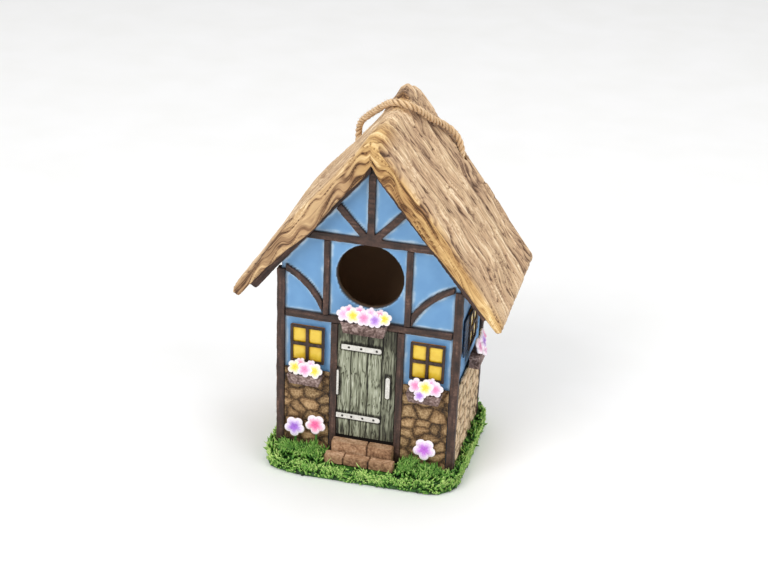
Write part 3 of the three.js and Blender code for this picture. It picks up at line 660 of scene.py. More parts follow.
def stray_fibres(heap, line, reach, count, seed):
    """Short fine hairs that stand off the rope."""
    rng = np.random.default_rng(seed)
    ahead, first, second = line_frames(line)
    for _ in range(count):
        i = rng.integers(6, len(line) - 6)
        angle = rng.uniform(0, 2 * math.pi)
        side = first[i] * math.cos(angle) + second[i] * math.sin(angle)
        root = line[i] + side * reach * 0.8
        way = side * rng.uniform(0.35, 1.0) + ahead[i] * rng.uniform(-1, 1)
        tip = root + way / np.linalg.norm(way) * rng.uniform(0.9, 2.3)
        across = np.cross(tip - root, side + 0.3 * ahead[i])
        across /= np.linalg.norm(across)
        other = np.cross(across, way / np.linalg.norm(way))
        bend = (root + tip) / 2 + across * rng.uniform(-0.3, 0.3)
        triangle = [across * math.cos(a) + other * math.sin(a) for a in (0, 2.1, 4.2)]
        points = [root + v * 0.09 for v in triangle] + [bend + v * 0.06 for v in triangle] + [tip]
        heap.add(points, SPIKE_FACES, tone=np.full(7, 0.9), flow=np.array(points) * MM)


def make_rope():
    line = smooth_line(ROPE_POINTS, ROPE_RING)
    heap = Heap()
    strand_tubes(heap, line, STRAND_REACH, STRAND_RADIUS, STRAND_PITCH, STRAND_SIDES)
    stray_fibres(heap, line, ROPE_DIAMETER / 2, STRAY_FIBRES, 5)
    rope = heap.piece("rope_of_three_strands", "hanging_rope", "rope", LOOKS["rope"])
    for side in ("left", "right"):
        low, high = box_mm(f"knot_{side}")
        middle, radius = (low + high) / 2, (high - low).min() / 2
        t = np.linspace(0, 2 * math.pi, KNOT_RINGS, endpoint=False)
        trefoil = (np.sin(t) + 2 * np.sin(2 * t), np.cos(t) - 2 * np.cos(2 * t), -1.5 * np.sin(3 * t))
        wound = np.stack(trefoil, 1)
        wound = middle + wound * (radius - 1.45) / 3.05
        knot = Heap()
        strand_tubes(knot, wound, *KNOT_STRANDS, closed=True)
        knot.piece(f"rope_knot_{side}", f"knot_{side}", "rope", LOOKS["rope"])
    length = float(np.linalg.norm(np.diff(line, axis=0), axis=1).sum()) * MM


make_rope()


# ---- Thatch ----

ROOF_LOW, ROOF_HIGH = box_mm("roof_thatch")
ROOF_TREE = tree_of([node_mesh("roof_thatch")])


def roof_height(x, y, from_above=True):
    start = ROOF_HIGH[2] + 10 if from_above else ROOF_LOW[2] - 10
    hit = ROOF_TREE.ray_cast(Vector((x, y, start)), Vector((0, 0, -1 if from_above else 1)))[0]
    return hit.z if hit is not None else ROOF_LOW[2]


RIM_Y = ROOF_LOW[1] + 12
APEX = roof_height(0.0, RIM_Y, False)
ROOF_SLOPE = (APEX - roof_height(40.0, RIM_Y, False)) / 40
ROOF_LEAN = math.hypot(1, ROOF_SLOPE)
THATCH_VOXEL = 0.74
UPPER_ROUNDING, LOWER_ROUNDING = 2.4, 1.2
LOCK_SIZE = (46.0, 2.5, 2.5)  # a lock's length down the slope, width and thickness
STRAW_SIZE = (30.0, 1.5, 1.5)
# How far the front rim hangs down, at each distance from the ridge.
LIP_PROFILE = ([0, 6, 16, 24, 38, 46, 54, 62, 90], [3.4, 3.4, 3.4, 3.6, 3.3, 2.0, 1.2, 0.6, 0.3])
RIGHT_LIP = 0.45  # the right side's share of that
BULGE_X = 53.0  # where the left slope is at its thickest
BULGE = 2.6
ROPE_HOLE = (32, 49)


def slope_normals(co):
    """Straight out of the slope that each point is on."""
    level = np.sign(co[:, 0]) * ROOF_SLOPE
    return np.stack([level, np.zeros(len(co)), np.ones(len(co))], 1) / ROOF_LEAN


def rounded_rim(co):
    """Each point's place with the front and rear rims rounded, and its height over the soffit."""
    moved = co.copy()
    slope_out = slope_normals(co)
    inner_y = np.clip(co[:, 1], ROOF_LOW[1] + 0.1, ROOF_HIGH[1] - 0.1)
    top = np.array([roof_height(x, y) for x, y in zip(co[:, 0], inner_y)])
    depth = (top - co[:, 2]) / ROOF_LEAN
    height = (co[:, 2] - (APEX - ROOF_SLOPE * np.abs(co[:, 0]))) / ROOF_LEAN
    for rim, inward in ((ROOF_LOW[1], 1), (ROOF_HIGH[1], -1)):
        from_rim = (co[:, 1] - rim) * inward
        for below, way, radius in ((depth, -1, UPPER_ROUNDING), (height, 1, LOWER_ROUNDING)):
            a, b = radius - from_rim, radius - below
            far = np.hypot(a, b)
            past = (a > 0) & (b > 0) & (far > radius)
            shift = np.where(past, far - radius, 0) / np.maximum(far, 1e-6)
            moved[:, 1] += inward * a * shift
            moved += slope_out * (way * b * shift)[:, None]
    return moved, height


def hanging_lip(co, height):
    """How far down the slope's own normal the front rim's lower edge hangs over the rafters."""
    rafter_face = box_mm("rafter_front_left")[0][1]
    front = 1 - step(co[:, 1], rafter_face - 2.6, rafter_face - 0.6)
    low = 1 - step(height, 0.5, 5.0)
    drop = np.interp(np.abs(co[:, 0]), *LIP_PROFILE) * np.where(co[:, 0] < 0, 1.0, RIGHT_LIP)
    drop = drop * (1 + 0.35 * noise(co[:, :1], 7, 8))
    return front * low * drop


def make_thatch():
    """Straw cut in locks that run down each slope and along both rims."""
    piece = evenly_divided("roof_thatch", THATCH_VOXEL, "thatch_of_straw")
    co, height = rounded_rim(positions(piece.data))
    slope_out = slope_normals(co)
    co = co - slope_out * hanging_lip(co, height)[:, None]
    swell = BULGE * np.exp(-(((-co[:, 0] - BULGE_X) / 11) ** 2))
    swell = swell * (0.3 + 0.7 * step(co[:, 1], -30, 25))
    co = co + slope_out * (swell * step(height, 0.5, 4.5))[:, None]
    set_positions(piece.data, co)
    out = normals(piece.data)
    along = co[:, 0] * ROOF_LEAN
    plane = np.stack([along, co[:, 1], height], 1)
    sway = noise(plane, (46, 30, 40), 3) * 8.5 + noise(plane, (16, 12, 14), 4) * 4.4
    sway = sway + noise(plane, (6, 5, 6), 9) * 0.6
    rise = noise(plane, (24, 16, 14), 5) * 2.6 + noise(plane, (10, 8, 8), 7) * 1.4
    sway = sway * (1 - 0.92 * step(np.abs(out[:, 1]), 0.25, 0.7))
    flow = np.stack([along, co[:, 1] + sway, height + rise], 1)
    lock = step(np.abs(noise(flow, LOCK_SIZE, 11)), 0.0, 0.24) ** 0.8
    straw = step(np.abs(noise(flow, STRAW_SIZE, 23)), 0.0, 0.3)
    who = 0.5 + 0.5 * noise(flow, (44, 3.2, 3.2), 12)
    fine_who = 0.5 + 0.5 * noise(flow, (28, 1.6, 1.6), 24)
    down = noise(flow, (22, 4, 4), 13)
    under = step(-out[:, 2], 0.2, 0.6)
    lumps = layered(plane, (26, 16, 20), 6)
    lift = -1.1 + 1.25 * lock + 0.45 * straw + 0.5 * (who - 0.5) + 0.45 * down + 0.35 * lumps
    lift = lift * (1 - 0.7 * under)
    near_hole = np.hypot(np.abs(co[:, 0]) - ROPE_HOLE[0], co[:, 1] - ROPE_HOLE[1])
    lift = np.where(near_hole < 3.6, -0.1, lift)
    moved = co + out * lift[:, None]
    set_positions(piece.data, kept_inside(moved))
    shade = 0.3 * (who - 0.5) + 0.2 * (fine_who - 0.5) + 0.12 * lumps + 0.1 * down
    raised = step(lift, -0.7, 1.1)
    tone = -0.04 + 0.3 * lock + 0.22 * straw + 0.24 * raised + shade * (0.3 + 0.7 * lock)
    # Painted shade: a dark spot at the rope hole, and the underside darker.
    tone = np.where(near_hole < 3.3, 0.05, tone) * (1 - 0.45 * under)
    front = step(-out[:, 1], 0.25, 0.7)
    ridge = (1 - step(np.abs(along), 4, 16)) * (1 - step(co[:, 1], -30, 0))
    rim = (1 - step(co[:, 1] - ROOF_LOW[1], 1, 9)) * 0.55
    # Painted highlight: the gold is stronger on the right-hand side, where the light falls.
    sunny = 0.45 + 0.5 * step(along, -30, 5)
    gold = np.clip(np.maximum(np.maximum(front * sunny, ridge * 0.9), rim * sunny) + 0.25 * under, 0, 1)
    flow_scaled = np.stack([flow[:, 0] / 18, flow[:, 1], flow[:, 2]], 1) * MM
    tones = {"tone": tone, "gold": gold, "flow": flow_scaled}
    dressed(piece, "roof_thatch", LOOKS["thatch"], tones)


make_thatch()


# ---- Timbers ----

TIMBER_STARTS = ("corner_post", "door_post", "stud", "brace", "rafter")
TIMBERS = [name for name in frame["nodes"] if name.startswith(TIMBER_STARTS)]
TIMBERS += ["mid_rail", "gable_truss", "rear_timber_frame"]
WINDOWS = ("front_left", "front_right", "side_left", "side_right")
TIMBER_VOXEL = 0.5
FRAME_VOXEL = 0.33
METAL_VOXEL = 0.22
COVER_JOINTS = (-9.2, 0.3, 9.6)


def long_axis(co):
    """The direction in which a piece is longest."""
    spread = co - co.mean(0)
    return np.linalg.eigh(spread.T @ spread)[1][:, -1]


def timber_relief(seed, rough=1.0, brightness=0.5):
    def relief(co, out):
        axis = long_axis(co)
        along = co @ axis
        grain = noise(co - np.outer(along * (1 - 1 / 9), axis), 1.0, seed)
        lift = 0.26 * layered(co, 7, seed + 1) + 0.12 * noise(co, 2.6, seed + 2) + 0.1 * grain - 0.08
        return lift * rough, {"tone": brightness + 0.28 * layered(co, 5, seed + 3) + 0.3 * grain}

    return relief


def from_lines(across, lines):
    """How far each point is from the nearest of these lines."""
    return np.min([np.abs(across - at) for at in lines], axis=0)


def cover_relief(co, out):
    """Joints between the cover's boards."""
    lift, tones = timber_relief(170, 0.7)(co, out)
    wander = 0.3 * noise(co[:, 2:], 9, 176)
    joint = 1 - step(from_lines(co[:, 0] - wander, COVER_JOINTS), 0.15, 0.9)
    joint *= step(np.abs(out[:, 1]), 0.3, 0.8)
    return lift - 0.6 * joint, {"tone": tones["tone"] - 0.5 * joint}


def screw_relief(co, out):
    """A cross slot in the screw's head, darkened inside as painted shade."""
    low, high = box_mm("pivot_screw")
    level, _, upright = np.abs(co - (low + high) / 2).T
    near, far = np.minimum(level, upright), np.maximum(level, upright)
    slot = (1 - step(near, 0.35, 0.65)) * (1 - step(far, 2.0, 2.4)) * step(out[:, 1], 0.3, 0.8)
    return -0.7 * slot - 0.02, {"tone": 0.5 - 0.4 * slot}


def make_timbers():
    for number, node in enumerate(sorted(TIMBERS)):
        carved(node, TIMBER_VOXEL, timber_relief(100 + number), LOOKS["timber"])
    for place in WINDOWS:
        relief = timber_relief(150, 0.55, 0.3)
        carved(f"window_frame_{place}", FRAME_VOXEL, relief, LOOKS["timber"])
    carved("cleanout_cover", TIMBER_VOXEL, cover_relief, LOOKS["timber"])
    carved("pivot_screw", METAL_VOXEL, screw_relief, LOOKS["screw"])


make_timbers()


# ---- Plaster walls ----


SHELL_LOW, SHELL_HIGH = box_mm("house_shell")
SHELL_VOXEL = 1.05
WALL = 4.5
HOLE_X, HOLE_Z, HOLE_RADIUS = 0.0, 128.7, 19.7
# Half the clean-out opening's width and height, and its middle, with a margin for its edges.
CLEANOUT_HALF_WIDTH, CLEANOUT_HALF_HEIGHT, CLEANOUT_Z = 14.8, 15.8, 35.0
FARTHEST_EDGE = 8.0  # timbers farther away than this leave no mark


def make_plaster():
    timbers = tree_of(node_mesh(node) for node in TIMBERS)
    door_high = box_mm("door_leaf")[1]

    def relief(co, out):
        found = [timbers.find_nearest(Vector(p), FARTHEST_EDGE)[3] for p in co]
        edge = np.array([distance or FARTHEST_EDGE for distance in found])
        inside = (
            (np.abs(co[:, 0]) < SHELL_HIGH[0] - 1.2)
            & (co[:, 1] > SHELL_LOW[1] + 1.2)
            & (co[:, 1] < SHELL_HIGH[1] - 1.2)
        )
        from_hole = np.hypot(co[:, 0] - HOLE_X, co[:, 2] - HOLE_Z) - HOLE_RADIUS
        at_front = co[:, 1] < SHELL_LOW[1] + WALL + 0.5
        lip = np.exp(-((from_hole - 1.2) / 1.4) ** 2) * at_front
        lift = np.where(inside, 0, 0.16 * layered(co, 12, 41) - 0.1 + 0.22 * lip)
        lift = lift - np.where(inside, 0, 0.25 * step(edge, 0.4, 2.2) - 0.1)
        at_rear = co[:, 1] > SHELL_HIGH[1] - WALL - 0.5
        in_cleanout = np.abs(co[:, 0]) < CLEANOUT_HALF_WIDTH
        in_cleanout &= np.abs(co[:, 2] - CLEANOUT_Z) < CLEANOUT_HALF_HEIGHT
        in_barrel = (at_front & (from_hole < 0.35)) | (at_rear & in_cleanout)
        rim_edge = np.where(at_front & ~inside, np.maximum(from_hole - 0.3, 0) * 1.5 + 0.3, 9)
        shown = np.minimum(edge - 0.5, rim_edge) + 0.9 * layered(co, 5, 44)
        behind_door = (np.abs(co[:, 0]) < door_high[0] + 0.6) & (co[:, 2] < door_high[2])
        behind_door &= co[:, 1] < SHELL_LOW[1] + 0.5
        at_timber = (1 - step(edge, 0.25, 0.6)) * ~inside
        # The dark tone is painted shade behind the door, in the join along each timber, and inside the
        # entrance hole and the clean-out opening.
        return lift, {
            "edge": 0.12 + step(shown, 0.0, 3.0) * 0.8,
            "inner": inside * 1.0,
            "dark": np.max([behind_door * 1.0, at_timber, in_barrel * 0.8], 0),
        }

    carved("house_shell", SHELL_VOXEL, relief, LOOKS["plaster"])


make_plaster()


# ---- Flat panels: stonework, door, shutters, planters, ironwork, steps ----


STONE_VOXEL = 0.45
DOOR_VOXEL = 0.36
SHUTTER_VOXEL = 0.4
CLAY_VOXEL = 0.42
COBBLE_SIZE = (9.4, 7.0)
COBBLE_JITTER = 0.8
CRACK_SIZE = (1.25, 21.0)
CRACK_JITTER = 0.9
PLANK_LINES = (-9.4, 0.7, 9.4)
SLAT_PITCH = 3.4
IRONWORK = ("strap_top", "strap_bottom", "door_handle", "door_hinge_bar")
SHADE_SHIFT = np.array([-0.2, 0.0, 0.3])  # painted shadow, darker below the ironwork and to its right
STRAP_NAILS = {"strap_top": (-10.6, -3.2, 6.2), "strap_bottom": (-13.6, -8.0, -1.2, 5.6)}
STEP_JOINTS = {"step_upper": (3.4,), "step_lower": (-9.4, 6.0)}


def panel_axes(node):
    """The panel's thin axis, and its level axis."""
    low, high = box_mm(node)
    thin = 0 if high[0] - low[0] < high[1] - low[1] else 1
    return thin, 1 - thin


def cobbles(seed, node):
    thin, level = panel_axes(node)

    def relief(co, out):
        flat = co[:, [level, 2]]
        flat = flat + np.stack([noise(flat, 7, seed) * 1.2, noise(flat, 7, seed + 1) * 1.2], 1)
        border, who = cells(flat, COBBLE_SIZE, seed + 2, COBBLE_JITTER)
        crown = np.clip(border * 1.9, 0, 1) ** 0.6
        lift = -1.35 + 1.2 * crown + 0.12 * layered(co, 4, seed + 4) + 0.25 * (who - 0.5)
        lift = np.minimum(lift, 0.02) * step(np.abs(out[:, thin]), 0.3, 0.8)
        tone = 0.08 + 0.62 * crown + 0.26 * (who - 0.5) + 0.1 * layered(co, 3, seed + 5)
        return lift, {"tone": tone, "cell": who}

    return relief


def make_stones():
    for number, place in enumerate((*WINDOWS, "rear")):
        node = f"stones_{place}"
        look = LOOKS["pale_stone" if place.startswith("side") else "stone"]
        carved(node, STONE_VOXEL, cobbles(200 + 9 * number, node), look)


def door_relief(co, out):
    """Planks with joints and cracks, darker towards the bottom, painted shadow around the ironwork and
    under the flower box, painted shade along both edges, and the plank past the last joint greyed as
    painted shade.
    """
    outward = step(-out[:, 1], 0.3, 0.8)
    wander = noise(co[:, [0, 2]] * [0.0, 1.0], 14, 61) * 0.5
    joint = 1 - step(from_lines(co[:, 0] - wander, PLANK_LINES), 0.1, 0.6)
    flat = np.stack([co[:, 0] + 0.35 * noise(co[:, [0, 2]], (3, 14), 62), co[:, 2]], 1)
    border, who = cells(flat, CRACK_SIZE, 63, CRACK_JITTER)
    crack = (1 - step(border, 0.0, 0.17)) * (who > 0.2)
    streak = noise(flat, (0.8, 12), 64)
    lift = -0.08 - 0.75 * joint - 0.45 * crack + 0.1 * streak
    plank = np.digitize(co[:, 0], PLANK_LINES)
    tone = 0.62 + 0.24 * streak - 0.55 * joint - 0.42 * crack
    tone += 0.1 * (hashed(plank[:, None], 5) - 0.5)
    tone += 0.1 * layered(co, 9, 66) - 0.16 * (1 - step(co[:, 2], 26, 42))
    low, high = box_mm("door_leaf")
    # Painted shadow around the ironwork.
    for node in IRONWORK:
        iron_low, iron_high = box_mm(node)
        beyond = np.maximum(iron_low - SHADE_SHIFT - co, co - iron_high - SHADE_SHIFT)
        apart = np.maximum(beyond, 0)
        tone -= 0.5 * (1 - step(np.hypot(apart[:, 0], apart[:, 2]), 0.2, 1.7))
    # Painted shade along the left edge, painted shadow under the flower box at the top, and painted
    # shade along the right edge.
    tone -= 0.3 * (1 - step(co[:, 0] - low[0], 0.2, 2.2))
    tone -= 0.3 * (1 - step(high[2] - co[:, 2], 7, 15))
    tone -= 0.16 * (1 - step(high[0] - co[:, 0], 0.2, 2.5))
    # Painted shade on the plank past the last joint.
    shaded_plank = (co[:, 0] > PLANK_LINES[2]) * 1.0
    return lift * outward, {"tone": tone, "shaded_plank": shaded_plank}


def shutter_relief(co, out):
    outward = step(np.abs(out[:, 0]), 0.3, 0.8)
    slats = (co[:, 2] % SLAT_PITCH) / SLAT_PITCH
    lift = -0.05 - 0.35 * (1 - slats) + 0.05 * noise(co, 2, 71)
    # Painted shade: each slat is darker at its sunken lower edge.
    return lift * outward, {"tone": 0.35 + 0.45 * slats + 0.2 * layered(co, 4, 72)}


def clay_relief(seed):
    def relief(co, out):
        low, high = co[:, 2].min(), co[:, 2].max()
        lip = np.exp(-((co[:, 2] - high + 1.0) / 0.9) ** 2)
        lift = 0.3 * layered(co, 4, seed) - 0.25 + 0.12 * lip
        tone = 0.5 + 0.4 * layered(co, 3, seed + 1) + 0.15 * (co[:, 2] - low) / (high - low)
        return lift, {"tone": tone}

    return relief


def plate_relief(amount):
    """Softens a plate: points near its outline sink."""

    def relief(co, out):
        rim = np.abs(out[:, 1]) < 0.75
        lift = -amount * rim + 0.05 * layered(co, 3, 81)
        # Painted shade: the plate's sides are dark.
        return lift, {"tone": np.where(rim, 0.12, 0.8) + 0.24 * layered(co, 2.5, 82)}

    return relief


def make_ironwork():
    for node in IRONWORK:
        nails = STRAP_NAILS.get(node, ())
        relief = plate_relief(0.08 if nails else 0.12)
        carved(node, METAL_VOXEL, relief, LOOKS["iron"])
        if nails:
            low, high = box_mm(node)
            heap = Heap()
            for number, x in enumerate(nails):
                z = (low[2] + high[2]) / 2 + 0.15 * math.sin(3 * number)
                dome(heap, (x, low[1] + 0.1, z), 0.8, 0.5)
            heap.piece(f"{node}_nails", node, "white_iron", LOOKS["nail"])


def dome(heap, centre, radius, height, rings=4, sides=12):
    """A closed rounded stud that stands out towards -Y."""
    x, y, z = centre
    points = [(x, y - height, z)]
    for ring in range(1, rings + 1):
        angle = ring / rings * math.pi / 2
        reach, front = radius * math.sin(angle), y - height * math.cos(angle)
        for side in range(sides):
            turn = side / sides * 2 * math.pi
            points.append((x + reach * math.cos(turn), front, z + reach * math.sin(turn)))
    faces = [(0, 1 + (k + 1) % sides, 1 + k) for k in range(sides)]
    for ring in range(rings - 1):
        a, b = 1 + ring * sides, 1 + (ring + 1) * sides
        faces += [(a + k, a + (k + 1) % sides, b + (k + 1) % sides, b + k) for k in range(sides)]
    last = 1 + (rings - 1) * sides
    faces.append(tuple(last + k for k in range(sides)))
    heap.add(points, faces)


def step_relief(node, joints, seed):
    """Worn bricks with joints between them."""
    low, high = box_mm(node)

    def relief(co, out):
        wander = 0.4 * noise(co[:, 1:], 6, seed)
        joint = 1 - step(from_lines(co[:, 0] - wander, joints), 0.1, 0.8)
        corner = np.minimum(high[2] - co[:, 2], np.minimum(co[:, 1] - low[1], 9))
        near_end = np.minimum(co[:, 0] - low[0], high[0] - co[:, 0])
        soft = (1 - step(corner, 0, 1.6)) * 0.35 + (1 - step(near_end, 0, 2)) * 0.3
        lift = -0.15 - 0.8 * joint - soft
        lift += 0.3 * layered(co, 6, seed + 1) + 0.1 * noise(co, 1.8, seed + 2)
        brick = np.digitize(co[:, 0], joints)
        tone = 0.58 - 0.5 * joint + 0.2 * layered(co, 4, seed + 3)
        tone += 0.2 * (hashed(brick[:, None], seed) - 0.5)
        # Painted light: faces turned upwards are lighter.
        tone += 0.12 * step(out[:, 2], 0.3, 0.9) + 0.1 * noise(co, (6, 2, 2), seed + 4)
        return lift, {"tone": tone}

    return relief


def make_steps():
    for number, (node, joints) in enumerate(STEP_JOINTS.items()):
        relief = step_relief(node, joints, 300 + 10 * number)
        carved(node, CLAY_VOXEL, relief, LOOKS["brick"])


def make_panes():
    """Four glazed cushions behind each window frame."""
    for place in WINDOWS:
        node = f"window_panes_{place}"
        low, high = box_mm(node)
        thin, level = panel_axes(node)
        outward = -1 if thin == 1 or place == "side_left" else 1
        back = low[thin] if outward > 0 else high[thin]
        middle = (low + high) / 2
        heap = Heap()
        half = np.array([(high[level] - low[level]) / 2, (high[2] - low[2]) / 2])
        for a, b in itertools.product((-1, 1), repeat=2):
            centre = np.array([middle[level] + a * half[0] / 2, middle[2] + b * half[1] / 2])
            cushion(heap, centre, half / 2, back, outward, thin, level)
        heap.piece(f"{node}_glazed", node, "pane", LOOKS["pane"])


def cushion(heap, centre, half, back, outward, thin, level, count=15, rise=1.5):
    """A closed pane with a swollen face."""
    side = np.linspace(-1, 1, count)
    a, b = np.meshgrid(side, side, indexing="ij")
    crown = np.clip((1 - np.abs(a) ** 3.2) * (1 - np.abs(b) ** 3.2), 0, 1) ** 0.55
    total = count * count
    points = np.zeros((2 * total, 3))
    for layer, depth in ((0, 0.25 + (rise - 0.25) * crown), (1, np.zeros_like(crown))):
        part = slice(layer * total, (layer + 1) * total)
        points[part, level] = (centre[0] + a * half[0]).ravel()
        points[part, 2] = (centre[1] + b * half[1]).ravel()
        points[part, thin] = (back + outward * depth).ravel()
    points[:total] += np.stack([noise(points[:total], 4, 91 + k) * 0.06 for k in range(3)], 1)
    quads = [(i * count + j, (i + 1) * count + j, (i + 1) * count + j + 1, i * count + j + 1)
             for i in range(count - 1) for j in range(count - 1)]
    rim = [i * count for i in range(count)] + [(count - 1) * count + j for j in range(1, count)]
    rim += [i * count + count - 1 for i in range(count - 2, -1, -1)] + list(range(count - 2, 0, -1))
    faces = quads + [tuple(total + v for v in quad)[::-1] for quad in quads]
    faces += [(a, total + a, total + b, b) for a, b in zip(rim, rim[1:] + rim[:1])]
    flipped = (outward > 0) == (thin == 1)
    faces = [face[::-1] for face in faces] if flipped else faces
    heap.add(points, faces, crown=np.concatenate([crown.ravel(), np.zeros(total)]))


def make_panels():
    make_stones()
    carved("door_leaf", DOOR_VOXEL, door_relief, LOOKS["door"])
    for place in ("left_front", "left_rear", "right_front", "right_rear"):
        carved(f"shutter_{place}", SHUTTER_VOXEL, shutter_relief, LOOKS["shutter"])
    for number, place in enumerate(("front_left", "front_right", "door", "side_left", "side_right")):
        relief = clay_relief(400 + 5 * number)
        carved(f"flower_box_{place}", CLAY_VOXEL, relief, LOOKS["box"])
    make_ironwork()
    make_steps()
    make_panes()


make_panels()


# ---- Flowers ----

PINK = (236, 146, 192)
ROSE = (240, 160, 186)
YELLOW = (246, 218, 76)
PURPLE = (182, 132, 218)
PALE = (242, 190, 222)
PETAL_SECTORS = 50
PETAL_RINGS = 9
BACK_RINGS = ((0.96, -0.15), (0.5, -0.65))  # each one's share of the outline, and its height


def flower(heap, centre, radius, tint, turn, axes):
    """A closed cupped flower of five petals. axes are its right, its up and the way it faces."""
    right, up, face = axes
    angle = np.linspace(0, 2 * math.pi, PETAL_SECTORS, endpoint=False)
    lobe = np.abs(np.cos(2.5 * (angle - turn)))
    outline = radius * (0.66 + 0.34 * lobe**0.55)
    points, bloom = [np.array(centre) + face * 0.75], [0.0]

    def add_ring(share, heights):
        for k in range(PETAL_SECTORS):
            reach = outline[k] * share
            level, upward = right * reach * math.cos(angle[k]), up * reach * math.sin(angle[k])
            points.append(centre + level + upward + face * heights[k])
            bloom.append(share)

    for ring in range(1, PETAL_RINGS + 1):
        share = ring / PETAL_RINGS
        swell = 0.95 * math.sin(math.pi * min(share * 0.82, 1)) * (0.35 + 0.65 * lobe**0.6)
        eye = 0.35 * math.exp(-((share / 0.16) ** 2))
        add_ring(share, 0.75 + swell - 0.55 * share**3 + eye)
    for share, height in BACK_RINGS:
        add_ring(share, np.full(PETAL_SECTORS, height))
    n = PETAL_SECTORS
    faces = [(0, 1 + k, 1 + (k + 1) % n) for k in range(n)]
    for ring in range(PETAL_RINGS + 1):
        a, b = 1 + ring * n, 1 + (ring + 1) * n
        faces += [(a + k, b + k, b + (k + 1) % n, a + (k + 1) % n) for k in range(n)]
    last = 1 + (PETAL_RINGS + 1) * n
    faces.append(tuple(last + k for k in range(n))[::-1])
    count = len(points)
    petal_tint, eye_tint = linear(tint)[:3], linear([0.9 * c for c in tint])[:3]
    heap.add(np.array(points), faces, bloom=bloom,
             tint=np.tile(petal_tint, (count, 1)), eye=np.tile(eye_tint, (count, 1)))


def wall_axes(turn, tilt=0.35):
    """A wall's level direction, and the up and outward directions of a flower tilted on it."""
    right = np.array([math.cos(turn), math.sin(turn), 0])
    out = np.array([math.sin(turn), -math.cos(turn), 0])
    face = out * math.cos(tilt) + np.array([0, 0, math.sin(tilt)])
    return right, np.cross(face, right) * -1, face


# Each box has its wall's quarter turn, and its flowers' places across and up, radius, reach
# forward and tint.
SIDE_BLOOMS = [(-6.4, 5.4, 5.2, 0, PINK), (0, 6, 5.4, 1, PURPLE), (6.4, 5.4, 5.2, 0, PINK),
               (-1.6, 1.2, 4.2, 2.4, PALE)]
CLUSTERS = {
    "front_left": (0, [(-5.6, 4.6, 4.7, 0, YELLOW), (0.6, 4.4, 4.7, 1, PINK),
                       (6.6, 4, 4.7, 0.4, YELLOW), (-2.6, 7.4, 3.0, -1.2, ROSE),
                       (3.8, 7.0, 2.8, -1.2, PALE)]),
    "front_right": (0, [(-5, 4.8, 4.7, 0, PINK), (1, 4.8, 5.0, 0.8, YELLOW), (7, 4.2, 4.6, 0.2, PINK),
                        (-1.8, 0, 3.9, 2.4, PURPLE), (4.2, 7.6, 2.8, -1.0, PALE)]),
    "door": (0, [(-12, 4.4, 4.4, 0, PALE), (-6, 4.6, 4.9, 0.8, YELLOW), (0.4, 4.2, 4.9, 1.2, PINK),
                 (6.8, 3.6, 4.7, 0.9, PURPLE), (12.2, 5, 4.4, 0, YELLOW), (-9.0, 7.2, 3.0, -1, PINK),
                 (-2.6, 7.4, 3.2, -0.8, PINK), (3.8, 7.2, 3.2, -0.8, PALE), (9.4, 7.0, 3.0, -1, ROSE)]),
    "side_left": (-1, SIDE_BLOOMS),
    "side_right": (1, SIDE_BLOOMS),
}
STEM_RADIUS = 0.75
STEM_SIDES = 8
GROUND_TINTS = {"left": (164, 108, 212), "middle": (240, 104, 158), "right": (192, 108, 214)}


def make_box_flowers():
    for number, (place, (quarter, blooms)) in enumerate(CLUSTERS.items()):
        axes = wall_axes(quarter * math.pi / 2)
        right = axes[0]
        out = wall_axes(quarter * math.pi / 2, 0)[2]
        low, high = box_mm(f"flower_box_{place}")
        middle = (low + high) / 2
        depth = abs((high - low) @ np.abs(out))
        heap = Heap()
        for k, (x, z, radius, forward, tint) in enumerate(blooms):
            centre = middle + right * x + out * (0.1 * depth + forward + 0.6)
            centre[2] = high[2] + z
            flower(heap, centre, radius, tint, k * 1.3 + number, axes)
        heap.piece(f"flowers_{place}_blooms", f"flowers_{place}", "petal", LOOKS["petal"])


def make_ground_flowers():
    for place, tint in GROUND_TINTS.items():
        node = f"ground_flower_{place}"
        low, high = box_mm(node)
        x, y, _ = (low + high) / 2
        radius = (high[0] - low[0]) / 2
        centre = np.array([x, y + 0.4, high[2] - radius * 0.98])
        bloom, stem = Heap(), Heap()
        flower(bloom, centre, radius * 1.02, tint, math.pi / 10, wall_axes(0, 0.12))
        bend = [centre[0] + 0.3, centre[1] + 0.7, (centre[2] + low[2]) / 2]
        foot = [centre[0], centre[1] + 0.6, low[2]]
        line = smooth_line([centre + [0, 0.4, -1], bend, foot], 0.8)
        thickness = np.full((len(line), STEM_SIDES), STEM_RADIUS)
        points, faces = tube(line, lambda angle, thickness=thickness: thickness, STEM_SIDES)
        stem.add(points, faces, tone=np.full(len(points), 0.35))
        bloom.piece(f"{node}_bloom", node, "petal", LOOKS["petal"])
        stem.piece(f"{node}_stem", node, "petal", LOOKS["leaf"])


make_box_flowers()
make_ground_flowers()


# ---- Lawn ----

LAWN_LOW, LAWN_HIGH = box_mm("base_lawn")
LAWN_INSET = 2.1
LAWN_VOXEL = 0.9
TOP_TRIES = 3900
SIDE_TRIES = 3300
# Each tuft's left and right ends, its tallest blade, and how many blades are tried.
TUFTS = [(-51.0, -37.0, 12.0, 260), (-41.0, -23.0, 12.5, 280), (22.5, 33.0, 16.0, 280),
         (31.0, 49.0, 9.5, 240)]
TUFT_Y = -41.5
DOWN = Vector((0, 0, -1))
rng = np.random.default_rng(17)


def clump_lean(place):
    """Which way the grass leans here; neighbours lean alike."""
    point = np.array([tuple(place)])
    return float(noise(point, 5.5, 521)[0]) * 0.9, float(noise(point, 5.5, 522)[0]) * 0.6


